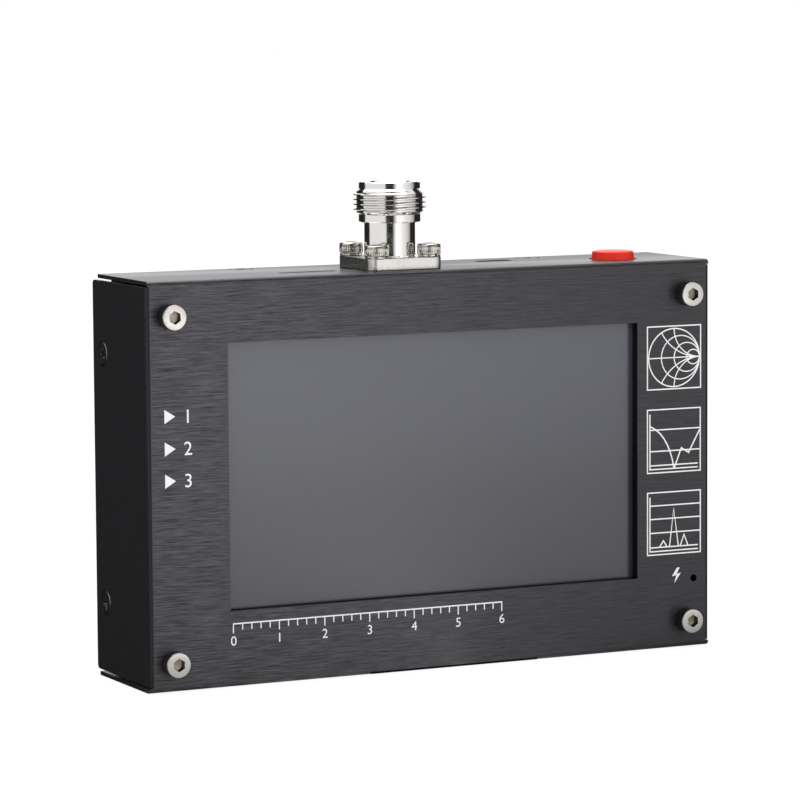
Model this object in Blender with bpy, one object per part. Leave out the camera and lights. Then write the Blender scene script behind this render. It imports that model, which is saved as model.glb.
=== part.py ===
"""Hand-held antenna analyzer in a bent sheet case, with a screen, an N-type socket and a power button.

Metres, +Z up. The front face looks along -Y and the case stands on its bottom flange.
The origin is at the bottom, in the middle of the overall width and depth.
A depth is a distance behind the front face.
"""

import math

import bmesh
import bpy
from mathutils import Matrix, Vector

MM = 0.001

# Clearances and mesh steps
SEAT = 0.25 * MM
OVERRUN = 1.0 * MM
MERGE = 0.001 * MM
ROUND_STEPS = 24
LARGE_ROUND_STEPS = 40
SMALL_ROUND_STEPS = 12
MEDIUM_ROUND_STEPS = 18
BEND_STEPS = 5
CORNER_STEPS = 4
SHARP_ANGLE = math.radians(35.0)

# Front shell: a tray bent from sheet, open at the rear
CASE_WIDTH = 136.0 * MM
CASE_HEIGHT = 87.0 * MM
SHEET = 1.0 * MM
BEND_RADIUS = 1.4 * MM
REAR_SPACE = 11.55 * MM
TOP_EDGE_MARGIN = 3.2 * MM
CORNER_RELIEF = 0.2 * MM
END_INSET = 0.25 * MM
SIDE_CORNER_RADIUS = 1.6 * MM

# Rear cover: a shallow tray that nests in the front shell
COVER_EDGE_GAP = 3.55 * MM
COVER_CORNER_RELIEF = 1.6 * MM
COVER_END_INSET = 3.0 * MM
COVER_CORNER_RADIUS = 1.0 * MM

# Window and display stack
WINDOW_SIDE_BORDER = 18.5 * MM
WINDOW_TOP_BORDER = 13.7 * MM
WINDOW_BOTTOM_BORDER = 16.1 * MM
WINDOW_X = 0.25 * MM
DISPLAY_SIDE_MARGIN = 3.25 * MM
DISPLAY_END_MARGIN = 5.0 * MM
GASKET_THICKNESS = 0.75 * MM
GASKET_MARGIN = 0.6 * MM
TOUCH_THICKNESS = 1.2 * MM
LCD_FRAME_DEPTH = 2.9 * MM
LCD_FRAME_WALL = 0.8 * MM
LCD_FRAME_BACK = 0.5 * MM
LCD_THICKNESS = 0.9 * MM
BACKLIGHT_THICKNESS = 0.7 * MM

# Circuit boards
BOARD_THICKNESS = 1.6 * MM
BOARD_SIDE_GAP = 1.0 * MM
BOARD_BOTTOM_GAP = 1.3 * MM
BOARD_TOP_GAP = 3.3 * MM
BOARD_SPACING = 8.4 * MM
FLEX_SLOT_HEIGHT = 2.4 * MM
FLEX_SLOT_Z = 7.6 * MM

# Metric 3 mm fasteners
SHANK_RADIUS = 1.5 * MM
CAP_HEAD_RADIUS = 2.75 * MM
CAP_HEAD_HEIGHT = 3.0 * MM
CAP_HEAD_CHAMFER = 0.35 * MM
HEX_SOCKET_WIDTH = 2.5 * MM
HEX_SOCKET_DEPTH = 1.7 * MM
FRONT_SCREW_LENGTH = 12.0 * MM
FRONT_SCREW_SIDE_INSET = 5.7 * MM
FRONT_SCREW_LOW_Z = 6.0 * MM
FRONT_SCREW_TOP_INSET = 7.7 * MM
SPACER_RADIUS = 3.0 * MM
STANDOFF_WIDTH = 5.5 * MM
BOARD_SCREW_HEAD_RADIUS = 2.7 * MM
BOARD_SCREW_HEAD_HEIGHT = 1.8 * MM
BOARD_SCREW_LENGTH = 5.0 * MM
FLAT_HEAD_RADIUS = 2.6 * MM
FLAT_HEAD_RIM = 0.15 * MM
FLAT_SCREW_LENGTH = 5.5 * MM
CROSS_LENGTH = 3.0 * MM
CROSS_WIDTH = 0.6 * MM
CROSS_DEPTH = 0.9 * MM
CROSS_TAPER_SHARE = 0.5
COVER_SCREW_EDGE_INSET = 2.5 * MM
COVER_SCREW_SIDE_INSET = 32.8 * MM
COVER_SCREW_LOW_Z = 16.2 * MM
COVER_SCREW_TOP_INSET = 16.9 * MM
TAPPED_COLLAR_RADIUS = 2.4 * MM
TAPPED_COLLAR_HEIGHT = 1.6 * MM

# N-type socket on the top flange
CONNECTOR_X = -5.0 * MM
CONNECTOR_DEPTH = 12.2 * MM
FLANGE_WIDTH = 17.5 * MM
FLANGE_THICKNESS = 2.6 * MM
FLANGE_CORNER_RADIUS = 2.0 * MM
FLANGE_HOLE_PITCH = 12.7 * MM
BARREL_RADIUS = 5.65 * MM
BARREL_LENGTH = 7.4 * MM
COLLAR_RADIUS = 6.85 * MM
COLLAR_LENGTH = 1.6 * MM
RELIEF_LENGTH = 0.5 * MM
THREAD_RADIUS = 7.94 * MM
THREAD_ROOT_RADIUS = 7.2 * MM
THREAD_PITCH = 1.058 * MM
THREAD_TURNS = 4
THREAD_CHAMFER = 0.8 * MM
RIM_RADIUS = 6.8 * MM
RIM_LENGTH = 1.25 * MM
RIM_CHAMFER = 0.2 * MM
MOUTH_RADIUS = 4.2 * MM
MOUTH_DEPTH = 9.2 * MM
INSULATOR_RADIUS = 3.2 * MM
INSULATOR_TAIL = 1.6 * MM
CONTACT_RADIUS = 1.52 * MM
CONTACT_BORE_RADIUS = 0.85 * MM
CONTACT_BORE_DEPTH = 3.0 * MM
CONTACT_RECESS = 4.9 * MM
CONTACT_TAIL_RADIUS = 0.65 * MM
CONTACT_TAIL_LENGTH = 5.5 * MM
CONNECTOR_HEAD_RADIUS = 2.6 * MM
CONNECTOR_HEAD_HEIGHT = 2.2 * MM
CONNECTOR_HEAD_CHAMFER = 0.45 * MM
CONNECTOR_SCREW_LENGTH = 8.0 * MM
LOCK_WASHER_RADIUS = 2.5 * MM
LOCK_WASHER_THICKNESS = 0.5 * MM
LOCK_WASHER_GAP_ANGLE = math.radians(14.0)
NUT_PLATE_THICKNESS = 2.0 * MM
LINK_WIDTH = 1.2 * MM
LINK_THICKNESS = 0.4 * MM
LINK_DROP = 6.0 * MM

# Power button and its push switch
BUTTON_SIDE_INSET = 17.7 * MM
BUTTON_RADIUS = 5.0 * MM
BUTTON_TOP_RADIUS = 4.7 * MM
BUTTON_EDGE = 0.4 * MM
BUTTON_PROUD = 1.9 * MM
BUTTON_THICKNESS = 3.4 * MM
BUTTON_GAP = 0.4 * MM
BUTTON_HUB_RADIUS = 2.9 * MM
BUTTON_HUB_LENGTH = 4.0 * MM
SWITCH_WIDTH = 7.0 * MM
SWITCH_HEIGHT = 8.0 * MM
SWITCH_DROP = 8.5 * MM
SWITCH_ROOF = 1.2 * MM
SWITCH_WALL = 0.7 * MM
SWITCH_BASE_THICKNESS = 1.0 * MM
PLUNGER_RADIUS = 1.6 * MM
SHOULDER_THICKNESS = 1.2 * MM
SPRING_RADIUS = 1.9 * MM
SPRING_WIRE_RADIUS = 0.2 * MM
SPRING_TURNS = 5
SPRING_STEPS_PER_TURN = 10

# Card socket, charging socket and indicator
CARD_TO_CONNECTOR = 21.2 * MM
CARD_SLOT_WIDTH = 13.5 * MM
CARD_SLOT_HEIGHT = 1.8 * MM
CARD_SOCKET_WIDTH = 14.0 * MM
CARD_SOCKET_LENGTH = 15.0 * MM
CARD_SOCKET_HEIGHT = 1.9 * MM
CARD_MOUTH_WIDTH = 11.4 * MM
CARD_MOUTH_HEIGHT = 0.9 * MM
CARD_MOUTH_DEPTH = 12.0 * MM
USB_TO_CONNECTOR = 29.15 * MM
USB_SLOT_WIDTH = 8.5 * MM
USB_SLOT_HEIGHT = 3.2 * MM
USB_SHELL_WIDTH = 7.6 * MM
USB_SHELL_HEIGHT = 2.6 * MM
USB_SHELL_LENGTH = 5.2 * MM
USB_SHELL_WALL = 0.3 * MM
USB_TONGUE_WIDTH = 4.4 * MM
USB_TONGUE_THICKNESS = 0.5 * MM
USB_TONGUE_LENGTH = 3.4 * MM
LED_SIDE_INSET = 3.9 * MM
LED_Z = 15.3 * MM
LED_HOLE_RADIUS = 0.8 * MM
LED_WIDTH = 1.6 * MM
LED_THICKNESS = 0.8 * MM
BOTTOM_SLOT_LEFT = -16.3 * MM
BOTTOM_SLOT_RIGHT = 24.5 * MM
BOTTOM_SLOT_START = 0.45 * MM
BOTTOM_SLOT_END = 4.5 * MM

# Parts on the boards: width, height and thickness, and where they stand
PROCESSOR_SIZE = (20.0 * MM, 20.0 * MM, 1.4 * MM)
PROCESSOR_X = 15.0 * MM
MEMORY_SIZE = (22.0 * MM, 10.0 * MM, 1.2 * MM)
MEMORY_X = -15.0 * MM
HEADER_SIZE = (5.0 * MM, 40.0 * MM)
HEADER_SIDE_INSET = 16.0 * MM
SHIELD_SIZE = (36.0 * MM, 26.0 * MM, 2.6 * MM)
SHIELD_X = -6.0 * MM
SHIELD_TOP_INSET = 18.7 * MM
CHARGER_SIZE = (5.0 * MM, 5.0 * MM, 1.0 * MM)
CHARGER_X = 24.0 * MM
CHARGER_TOP_INSET = 10.7 * MM
FLEX_WIDTH = 40.0 * MM
FLEX_THICKNESS = 0.3 * MM
FLEX_BEND_RADIUS = 1.4 * MM
FLEX_CONNECTOR_HEIGHT = 4.5 * MM
FLEX_CONNECTOR_THICKNESS = 2.0 * MM
FLEX_CONNECTOR_Z = 14.0 * MM

# Battery, stuck inside the rear cover
BATTERY_WIDTH = 60.0 * MM
BATTERY_HEIGHT = 50.0 * MM
BATTERY_THICKNESS = 4.6 * MM
BATTERY_SIDE_INSET = 10.0 * MM
BATTERY_CORNER_RADIUS = 2.0 * MM
PAD_THICKNESS = 0.6 * MM
PAD_MARGIN = 3.0 * MM
CABLE_RADIUS = 1.0 * MM
CABLE_POINTS = 12
SOCKET_TO_BATTERY = 22.0 * MM
SOCKET_LENGTH = 7.0 * MM
SOCKET_WIDTH = 6.6 * MM
SOCKET_HEIGHT = 4.6 * MM
SOCKET_WALL = 0.6 * MM
PLUG_OUTSIDE = 3.0 * MM

# Places worked out from the sizes above
TOP_INNER = CASE_HEIGHT - SHEET
NEST = SHEET + SEAT
WINDOW_WIDTH = CASE_WIDTH - 2 * WINDOW_SIDE_BORDER
WINDOW_HEIGHT = CASE_HEIGHT - WINDOW_TOP_BORDER - WINDOW_BOTTOM_BORDER
WINDOW_Z = WINDOW_BOTTOM_BORDER + WINDOW_HEIGHT / 2
DISPLAY_WIDTH = WINDOW_WIDTH + 2 * DISPLAY_SIDE_MARGIN
DISPLAY_HEIGHT = WINDOW_HEIGHT + 2 * DISPLAY_END_MARGIN
FRONT_SCREW_X = CASE_WIDTH / 2 - FRONT_SCREW_SIDE_INSET
FRONT_SCREW_HIGH_Z = CASE_HEIGHT - FRONT_SCREW_TOP_INSET
GASKET_FRONT = SHEET + SEAT
TOUCH_FRONT = GASKET_FRONT + GASKET_THICKNESS + SEAT
LCD_FRAME_FRONT = TOUCH_FRONT + TOUCH_THICKNESS + SEAT
LCD_FRAME_REAR = LCD_FRAME_FRONT + LCD_FRAME_DEPTH
BACKLIGHT_REAR = LCD_FRAME_REAR - LCD_FRAME_BACK - SEAT
BACKLIGHT_FRONT = BACKLIGHT_REAR - BACKLIGHT_THICKNESS
LCD_REAR = BACKLIGHT_FRONT - SEAT
DISPLAY_BOTTOM = WINDOW_Z - DISPLAY_HEIGHT / 2
MAIN_FRONT = LCD_FRAME_REAR + SEAT
MAIN_REAR = MAIN_FRONT + BOARD_THICKNESS
RF_FRONT = MAIN_REAR + BOARD_SPACING
RF_REAR = RF_FRONT + BOARD_THICKNESS
BOARD_BOTTOM = SHEET + BOARD_BOTTOM_GAP
BOARD_TOP = TOP_INNER - BOARD_TOP_GAP
BOARD_HALF = CASE_WIDTH / 2 - SHEET - BOARD_SIDE_GAP
BOARD_MIDDLE = (BOARD_BOTTOM + BOARD_TOP) / 2
SIDE_DEPTH = RF_REAR + REAR_SPACE
FRONT_Y = (CAP_HEAD_HEIGHT + SEAT - SIDE_DEPTH) / 2
COVER_INNER = SIDE_DEPTH - SHEET
COVER_EDGE = RF_REAR + COVER_EDGE_GAP
COVER_SCREW_DEPTH = COVER_EDGE + COVER_SCREW_EDGE_INSET
COVER_SCREW_X = CASE_WIDTH / 2 - COVER_SCREW_SIDE_INSET
COVER_SCREW_HIGH_Z = CASE_HEIGHT - COVER_SCREW_TOP_INSET
TOP_DEPTH = COVER_SCREW_DEPTH + TOP_EDGE_MARGIN
HOLE_RADIUS = SHANK_RADIUS + SEAT
BUTTON_X = CASE_WIDTH / 2 - BUTTON_SIDE_INSET
BUTTON_DEPTH = MAIN_REAR + SEAT + SWITCH_WIDTH / 2
CARD_X = CONNECTOR_X - CARD_TO_CONNECTOR
CARD_DEPTH = MAIN_REAR + SEAT + CARD_SOCKET_HEIGHT / 2
USB_X = CONNECTOR_X + USB_TO_CONNECTOR
USB_DEPTH = RF_REAR + SEAT + USB_SHELL_HEIGHT / 2
LED_X = CASE_WIDTH / 2 - LED_SIDE_INSET
FLANGE_BOTTOM = CASE_HEIGHT + SEAT
FLANGE_TOP = FLANGE_BOTTOM + FLANGE_THICKNESS
THREAD_LENGTH = THREAD_CHAMFER + THREAD_TURNS * THREAD_PITCH
RIM_HEIGHT = BARREL_LENGTH + COLLAR_LENGTH + RELIEF_LENGTH + THREAD_LENGTH + RIM_LENGTH
CONNECTOR_TOP = FLANGE_TOP + RIM_HEIGHT
DISC_BOTTOM = BUTTON_PROUD - BUTTON_THICKNESS
SHOULDER_TOP = -SWITCH_DROP - SWITCH_ROOF - SEAT
SHOULDER_BOTTOM = SHOULDER_TOP - SHOULDER_THICKNESS
CHAMBER_RADIUS = SWITCH_WIDTH / 2 - SWITCH_WALL
BATTERY_REAR = COVER_INNER - SEAT - PAD_THICKNESS - SEAT
BATTERY_FRONT = BATTERY_REAR - BATTERY_THICKNESS
BATTERY_X = BATTERY_SIDE_INSET + (BATTERY_WIDTH - CASE_WIDTH) / 2
BATTERY_Z = BOARD_MIDDLE
SOCKET_X = BATTERY_X + BATTERY_WIDTH / 2 + SOCKET_TO_BATTERY
SOCKET_Z = BATTERY_Z

# Looks: color, roughness and metallic
CASE_FRONT_LOOK = ((0.075, 0.075, 0.08), 0.45, 0.6)
CASE_REAR_LOOK = ((0.05, 0.05, 0.055), 0.5, 0.5)
BRIGHT_STEEL_LOOK = ((0.72, 0.71, 0.69), 0.3, 1.0)
BLACK_STEEL_LOOK = ((0.02, 0.02, 0.022), 0.4, 0.8)
TINNED_STEEL_LOOK = ((0.66, 0.66, 0.66), 0.3, 1.0)
BRASS_LOOK = ((0.7, 0.58, 0.3), 0.35, 1.0)
NICKEL_LOOK = ((0.78, 0.77, 0.75), 0.15, 1.0)
GOLD_LOOK = ((0.83, 0.62, 0.25), 0.25, 1.0)
SCREEN_LOOK = ((0.13, 0.135, 0.145), 0.15, 0.0)
DARK_GLASS_LOOK = ((0.05, 0.05, 0.06), 0.1, 0.0)
WHITE_PLASTIC_LOOK = ((0.85, 0.85, 0.82), 0.5, 0.0)
BLACK_PLASTIC_LOOK = ((0.03, 0.03, 0.03), 0.5, 0.0)
RED_PLASTIC_LOOK = ((0.75, 0.045, 0.02), 0.35, 0.0)
FOAM_LOOK = ((0.015, 0.015, 0.015), 0.9, 0.0)
FILM_LOOK = ((0.5, 0.27, 0.07), 0.4, 0.0)
BOARD_LOOK = ((0.02, 0.16, 0.06), 0.45, 0.0)
FOIL_LOOK = ((0.6, 0.62, 0.66), 0.35, 0.4)

# Directions
UP = Vector((0, 0, 1))
DOWN = Vector((0, 0, -1))
RIGHT = Vector((1, 0, 0))
FRONT = Vector((0, -1, 0))
REAR = Vector((0, 1, 0))


# Scene, materials and objects

def clear_scene():
    for obj in list(bpy.data.objects):
        bpy.data.objects.remove(obj, do_unlink=True)


def make_material(name, color, roughness, metallic):
    material = bpy.data.materials.new(name)
    material.use_nodes = True
    shader = material.node_tree.nodes["Principled BSDF"]
    shader.inputs["Base Color"].default_value = (*color, 1.0)
    shader.inputs["Roughness"].default_value = roughness
    shader.inputs["Metallic"].default_value = metallic
    material.diffuse_color = (*color, 1.0)
    return material


def make_empty(name, location):
    empty = bpy.data.objects.new(name, None)
    empty.location = location
    bpy.context.collection.objects.link(empty)
    return empty


def place(name, data, parent):
    obj = bpy.data.objects.new(name, data)
    obj.parent = parent
    bpy.context.collection.objects.link(obj)
    return obj


def mesh_from(name, bm):
    mesh = bpy.data.meshes.new(name)
    bm.to_mesh(mesh)
    bm.free()
    return mesh


def add_piece(name, bm, look, parent, smooth=False):
    """One visible sub-part with its own material."""
    obj = place(name, mesh_from(name, bm), parent)
    obj.data.materials.append(make_material(name, *look))
    if smooth:
        obj.data.shade_smooth()
        obj.data.set_sharp_from_angle(angle=SHARP_ANGLE)
    return obj


def evaluated_mesh(name, bm, cutter):
    """Mesh of the shape bm with the shape cutter taken out of it."""
    solid = place(name, mesh_from(name, bm), None)
    add_boolean(solid, name + "_cutter", cutter, "DIFFERENCE")
    helper = solid.modifiers[0].object
    seen = solid.evaluated_get(bpy.context.evaluated_depsgraph_get())
    mesh = bpy.data.meshes.new_from_object(seen)
    for obj in (solid, helper):
        bpy.data.objects.remove(obj, do_unlink=True)
    return mesh


def add_copies(name, mesh, look, places, parent):
    """One object for each named place, all sharing a mesh made about Z."""
    mesh.materials.clear()
    mesh.materials.append(make_material(name, *look))
    mesh.shade_smooth()
    mesh.set_sharp_from_angle(angle=SHARP_ANGLE)
    for suffix, (position, outward) in places.items():
        obj = place(f"{name}_{suffix}", mesh, parent)
        obj.location = position
        obj.rotation_euler = UP.rotation_difference(outward).to_euler()


def add_boolean(target, name, bm, operation):
    """Join to or cut from target the closed shapes in bm, kept as a hidden wire object."""
    cutter = place(name, mesh_from(name, bm), target.parent)
    cutter.hide_render = True
    cutter.display_type = "WIRE"
    modifier = target.modifiers.new(name, "BOOLEAN")
    modifier.operation = operation
    modifier.solver = "EXACT"
    modifier.object = cutter


# Shapes, each returned as a bmesh

def block(low, high):
    """Axis-aligned box between two corners."""
    low, high = Vector(low), Vector(high)
    bm = bmesh.new()
    size = Matrix.Diagonal((*(high - low), 1.0))
    bmesh.ops.create_cube(bm, size=1.0, matrix=Matrix.Translation((low + high) / 2) @ size)
    return bm


def slab(x, z, width, height, front, rear):
    """Box centred on x and z that runs between two depths."""
    return block((x - width / 2, front, z - height / 2), (x + width / 2, rear, z + height / 2))


def turned(profile, steps=ROUND_STEPS, closed=False):
    """Solid of revolution about Z. An open profile starts and ends on the axis."""
    bm = bmesh.new()
    verts = [bm.verts.new((radius, 0, height)) for radius, height in profile]
    edges = [bm.edges.new(pair) for pair in zip(verts, verts[1:])]
    if closed:
        edges.append(bm.edges.new((verts[-1], verts[0])))
    bmesh.ops.spin(bm, geom=verts + edges, cent=(0, 0, 0), axis=UP, angle=math.tau,
                   steps=steps, use_merge=True)
    bmesh.ops.remove_doubles(bm, verts=bm.verts, dist=MERGE)
    bmesh.ops.recalc_face_normals(bm, faces=bm.faces)
    return bm


def rod(radius, low, high, steps=ROUND_STEPS):
    return turned([(0, low), (radius, low), (radius, high), (0, high)], steps)


def hexagon(width, low, high):
    """Hexagonal prism by its width across flats, with corners on X."""
    return rod(width / 2 / math.cos(math.pi / 6), low, high, steps=6)


def tube(inner, outer, low, high, steps=ROUND_STEPS):
    ring = [(inner, low), (outer, low), (outer, high), (inner, high)]
    return turned(ring, steps, closed=True)


def extruded(outline, low, high):
    """Closed outline in X and Y, extruded along Z."""
    bm = bmesh.new()
    face = bm.faces.new([bm.verts.new((x, y, low)) for x, y in outline])
    grown = bmesh.ops.extrude_face_region(bm, geom=[face])
    top = [item for item in grown["geom"] if isinstance(item, bmesh.types.BMVert)]
    bmesh.ops.translate(bm, verts=top, vec=(0, 0, high - low))
    bmesh.ops.recalc_face_normals(bm, faces=bm.faces)
    return bm


def rounded_outline(width, depth, radius):
    """Rectangle about the origin with round corners, anticlockwise."""
    outline = []
    for quarter, (sx, sy) in enumerate(((1, 1), (-1, 1), (-1, -1), (1, -1))):
        for step in range(CORNER_STEPS + 1):
            angle = (quarter + step / CORNER_STEPS) * math.pi / 2
            x = sx * (width / 2 - radius) + radius * math.cos(angle)
            y = sy * (depth / 2 - radius) + radius * math.sin(angle)
            outline.append((x, y))
    return outline


def joined(shapes):
    """Several separate shapes in one bmesh."""
    total = bmesh.new()
    for bm in shapes:
        mesh = mesh_from("shape", bm)
        total.from_mesh(mesh)
        bpy.data.meshes.remove(mesh)
    return total


def turned_to(bm, position, direction):
    """Move a shape made about Z so that Z points along direction from position."""
    spin = UP.rotation_difference(direction).to_matrix().to_4x4()
    bm.transform(Matrix.Translation(position) @ spin)
    return bm


def repeated(make_shape, places):
    """The same shape at each named place."""
    return joined([turned_to(make_shape(), position, outward) for position, outward in places.values()])


# Where the fasteners sit, by name: (position on the outer face, outward direction)

SIDES = {"left": -1, "right": 1}


def front_screw_places(depth, outward=FRONT):
    heights = {"low": FRONT_SCREW_LOW_Z, "high": FRONT_SCREW_HIGH_Z}
    return {f"{side}_{level}": (Vector((sign * FRONT_SCREW_X, depth, z)), outward)
            for side, sign in SIDES.items() for level, z in heights.items()}


def cover_screw_places():
    places = {}
    for side, sign in SIDES.items():
        for level, z in {"low": COVER_SCREW_LOW_Z, "high": COVER_SCREW_HIGH_Z}.items():
            spot = Vector((sign * CASE_WIDTH / 2, COVER_SCREW_DEPTH, z))
            places[f"{side}_{level}"] = (spot, sign * RIGHT)
        for end, (z, outward) in {"top": (CASE_HEIGHT, UP), "bottom": (0, DOWN)}.items():
            spot = Vector((sign * COVER_SCREW_X, COVER_SCREW_DEPTH, z))
            places[f"{end}_{side}"] = (spot, outward)
    return places


def connector_screw_places(z):
    half = FLANGE_HOLE_PITCH / 2
    rows = {"front": CONNECTOR_DEPTH - half, "rear": CONNECTOR_DEPTH + half}
    return {f"{row}_{side}": (Vector((CONNECTOR_X + sign * half, depth, z)), UP)
            for row, depth in rows.items() for side, sign in SIDES.items()}


# Case

def tray_skin(width, height, side_depth, end_depth, relief, inset, corner):
    """Outer skin of a tray bent from sheet: a flat face at y = 0 and four flanges towards +Y.

    Side flanges start relief inside the end bends, and the end flanges stop inset short of the
    sides, so the corners stay open as on folded sheet.
    """
    bm = bmesh.new()
    bend = [(BEND_RADIUS * math.sin(step / BEND_STEPS * math.pi / 2),
             BEND_RADIUS * (1 - math.cos(step / BEND_STEPS * math.pi / 2)))
            for step in range(BEND_STEPS + 1)]
    flat_half = width / 2 - BEND_RADIUS
    side_low, side_high = BEND_RADIUS + relief, height - BEND_RADIUS - relief
    side_edges = {}
    end_edges = {}

    for side in (-1, 1):
        rows = [[bm.verts.new((side * (flat_half + out), back, z)) for z in (side_low, side_high)]
                for out, back in bend]
        for near, far in zip(rows, rows[1:]):
            bm.faces.new((near[0], near[1], far[1], far[0]))
        rear = [bm.verts.new((side * width / 2, y, z)) for y, z in
                flange_rear_outline(side_low, side_high, side_depth, corner)]
        bm.faces.new([rows[-1][0], *rear, rows[-1][1]])
        side_edges[side] = rows[0]

    flange_half = width / 2 - inset
    for end, base in ((-1, 0), (1, height)):
        level = base - end * BEND_RADIUS
        columns = sorted({-flange_half, flange_half, max(-flange_half, -flat_half),
                          min(flange_half, flat_half)})
        rows = [[bm.verts.new((x, back, level + end * out)) for x in columns] for out, back in bend]
        rows.append([bm.verts.new((x, end_depth, base)) for x in columns])
        for near, far in zip(rows, rows[1:]):
            for k in range(len(columns) - 1):
                bm.faces.new((near[k], near[k + 1], far[k + 1], far[k]))
        on_face = [vert for vert in rows[0] if abs(vert.co.x) <= flat_half + MERGE]
        if flange_half < flat_half:
            corners = [bm.verts.new((side * flat_half, 0, level)) for side in (-1, 1)]
            on_face = [corners[0], *on_face, corners[1]]
        end_edges[end] = on_face

    bm.faces.new([*end_edges[-1], *side_edges[1], *reversed(end_edges[1]), *reversed(side_edges[-1])])
    bmesh.ops.recalc_face_normals(bm, faces=bm.faces)
    face_outward(bm)
    return bm


def flange_rear_outline(low, high, depth, corner):
    """Rear edge of a side flange as (depth, z) points, with both corners round."""
    points = []
    for centre, start in ((low + corner, -math.pi / 2), (high - corner, 0)):
        for step in range(CORNER_STEPS + 1):
            angle = start + step / CORNER_STEPS * math.pi / 2
            points.append((depth - corner + corner * math.cos(angle), centre + corner * math.sin(angle)))
    return points


def face_outward(bm):
    """Turn the whole skin over if its flat front face looks the wrong way."""
    front = max(bm.faces, key=lambda face: face.calc_area())
    if front.normal.y > 0:
        bmesh.ops.reverse_faces(bm, faces=bm.faces)


def add_thickness(obj):
    modifier = obj.modifiers.new("sheet", "SOLIDIFY")
    modifier.thickness = SHEET
    modifier.offset = -1.0
    modifier.use_even_offset = True


def flat_head_profile(gap, top):
    """Countersunk screw from its flat top down, grown all round by gap."""
    slope = FLAT_HEAD_RADIUS - SHANK_RADIUS
    return [
        (0, top), (FLAT_HEAD_RADIUS + gap, top),
        (FLAT_HEAD_RADIUS + gap, -FLAT_HEAD_RIM), (SHANK_RADIUS + gap, -FLAT_HEAD_RIM - slope),
        (SHANK_RADIUS + gap, -FLAT_SCREW_LENGTH - gap), (0, -FLAT_SCREW_LENGTH - gap),
    ]


def window_cutter():
    return slab(WINDOW_X, WINDOW_Z, WINDOW_WIDTH, WINDOW_HEIGHT, -OVERRUN, SHEET + OVERRUN)


def through_top(x, depth, radius, steps=ROUND_STEPS):
    bm = rod(radius, TOP_INNER - OVERRUN, CASE_HEIGHT + OVERRUN, steps)
    bmesh.ops.translate(bm, verts=bm.verts, vec=(x, depth, 0))
    return bm


def top_slot(x, depth, width, height):
    return block((x - width / 2, depth - height / 2, TOP_INNER - OVERRUN),
                 (x + width / 2, depth + height / 2, CASE_HEIGHT + OVERRUN))


def bottom_slot_cutter():
    return block((BOTTOM_SLOT_LEFT, BOTTOM_SLOT_START, -OVERRUN),
                 (BOTTOM_SLOT_RIGHT, BOTTOM_SLOT_END, BEND_RADIUS))


def add_front_shell(parent):
    bm = tray_skin(CASE_WIDTH, CASE_HEIGHT, SIDE_DEPTH, TOP_DEPTH, CORNER_RELIEF, END_INSET,
                   SIDE_CORNER_RADIUS)
    shell = add_piece("front_shell", bm, CASE_FRONT_LOOK, parent)
    add_thickness(shell)
    insulator_hole = INSULATOR_RADIUS + SEAT
    cutters = [
        window_cutter(),
        bottom_slot_cutter(),
        repeated(lambda: rod(HOLE_RADIUS, -SHEET - OVERRUN, OVERRUN), front_screw_places(0)),
        repeated(lambda: turned(flat_head_profile(SEAT, OVERRUN), MEDIUM_ROUND_STEPS),
                 cover_screw_places()),
        repeated(lambda: rod(HOLE_RADIUS, -SHEET - OVERRUN, OVERRUN),
                 connector_screw_places(CASE_HEIGHT)),
        turned_to(rod(LED_HOLE_RADIUS, -SHEET - OVERRUN, OVERRUN), Vector((LED_X, 0, LED_Z)), FRONT),
        through_top(CONNECTOR_X, CONNECTOR_DEPTH, insulator_hole),
        through_top(BUTTON_X, BUTTON_DEPTH, BUTTON_RADIUS + BUTTON_GAP, LARGE_ROUND_STEPS),
        top_slot(CARD_X, CARD_DEPTH, CARD_SLOT_WIDTH, CARD_SLOT_HEIGHT),
        top_slot(USB_X, USB_DEPTH, USB_SLOT_WIDTH, USB_SLOT_HEIGHT),
    ]
    add_boolean(shell, "front_shell_openings", joined(cutters), "DIFFERENCE")


def add_rear_cover(parent):
    flange = SIDE_DEPTH - COVER_EDGE
    bm = tray_skin(CASE_WIDTH - 2 * NEST, CASE_HEIGHT - 2 * NEST, flange, flange,
                   COVER_CORNER_RELIEF, COVER_END_INSET, COVER_CORNER_RADIUS)
    bm.transform(Matrix.Translation((0, SIDE_DEPTH, NEST)) @ Matrix.Rotation(math.pi, 4, "Z"))
    cover = add_piece("rear_cover", bm, CASE_REAR_LOOK, parent)
    add_thickness(cover)
    foot = -NEST - SHEET - TAPPED_COLLAR_HEIGHT
    collars = repeated(lambda: rod(TAPPED_COLLAR_RADIUS, foot, -NEST - SHEET / 2, SMALL_ROUND_STEPS),
                       cover_screw_places())
    add_boolean(cover, "rear_cover_collars", collars, "UNION")
    holes = repeated(lambda: rod(HOLE_RADIUS, foot - OVERRUN, OVERRUN, SMALL_ROUND_STEPS),
                     cover_screw_places())
    add_boolean(cover, "rear_cover_holes", holes, "DIFFERENCE")


# Fasteners of the case

def cap_screw(head_radius, head_height, chamfer, length, steps=ROUND_STEPS):
    """Screw with a cylindrical head along Z, with the underside of its head at z = 0."""
    return turned([
        (0, head_height), (head_radius - chamfer, head_height), (head_radius, head_height - chamfer),
        (head_radius, 0), (SHANK_RADIUS, 0), (SHANK_RADIUS, -length), (0, -length),
    ], steps)


def hex_socket(head_height):
    return hexagon(HEX_SOCKET_WIDTH, head_height - HEX_SOCKET_DEPTH, head_height + OVERRUN)


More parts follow.
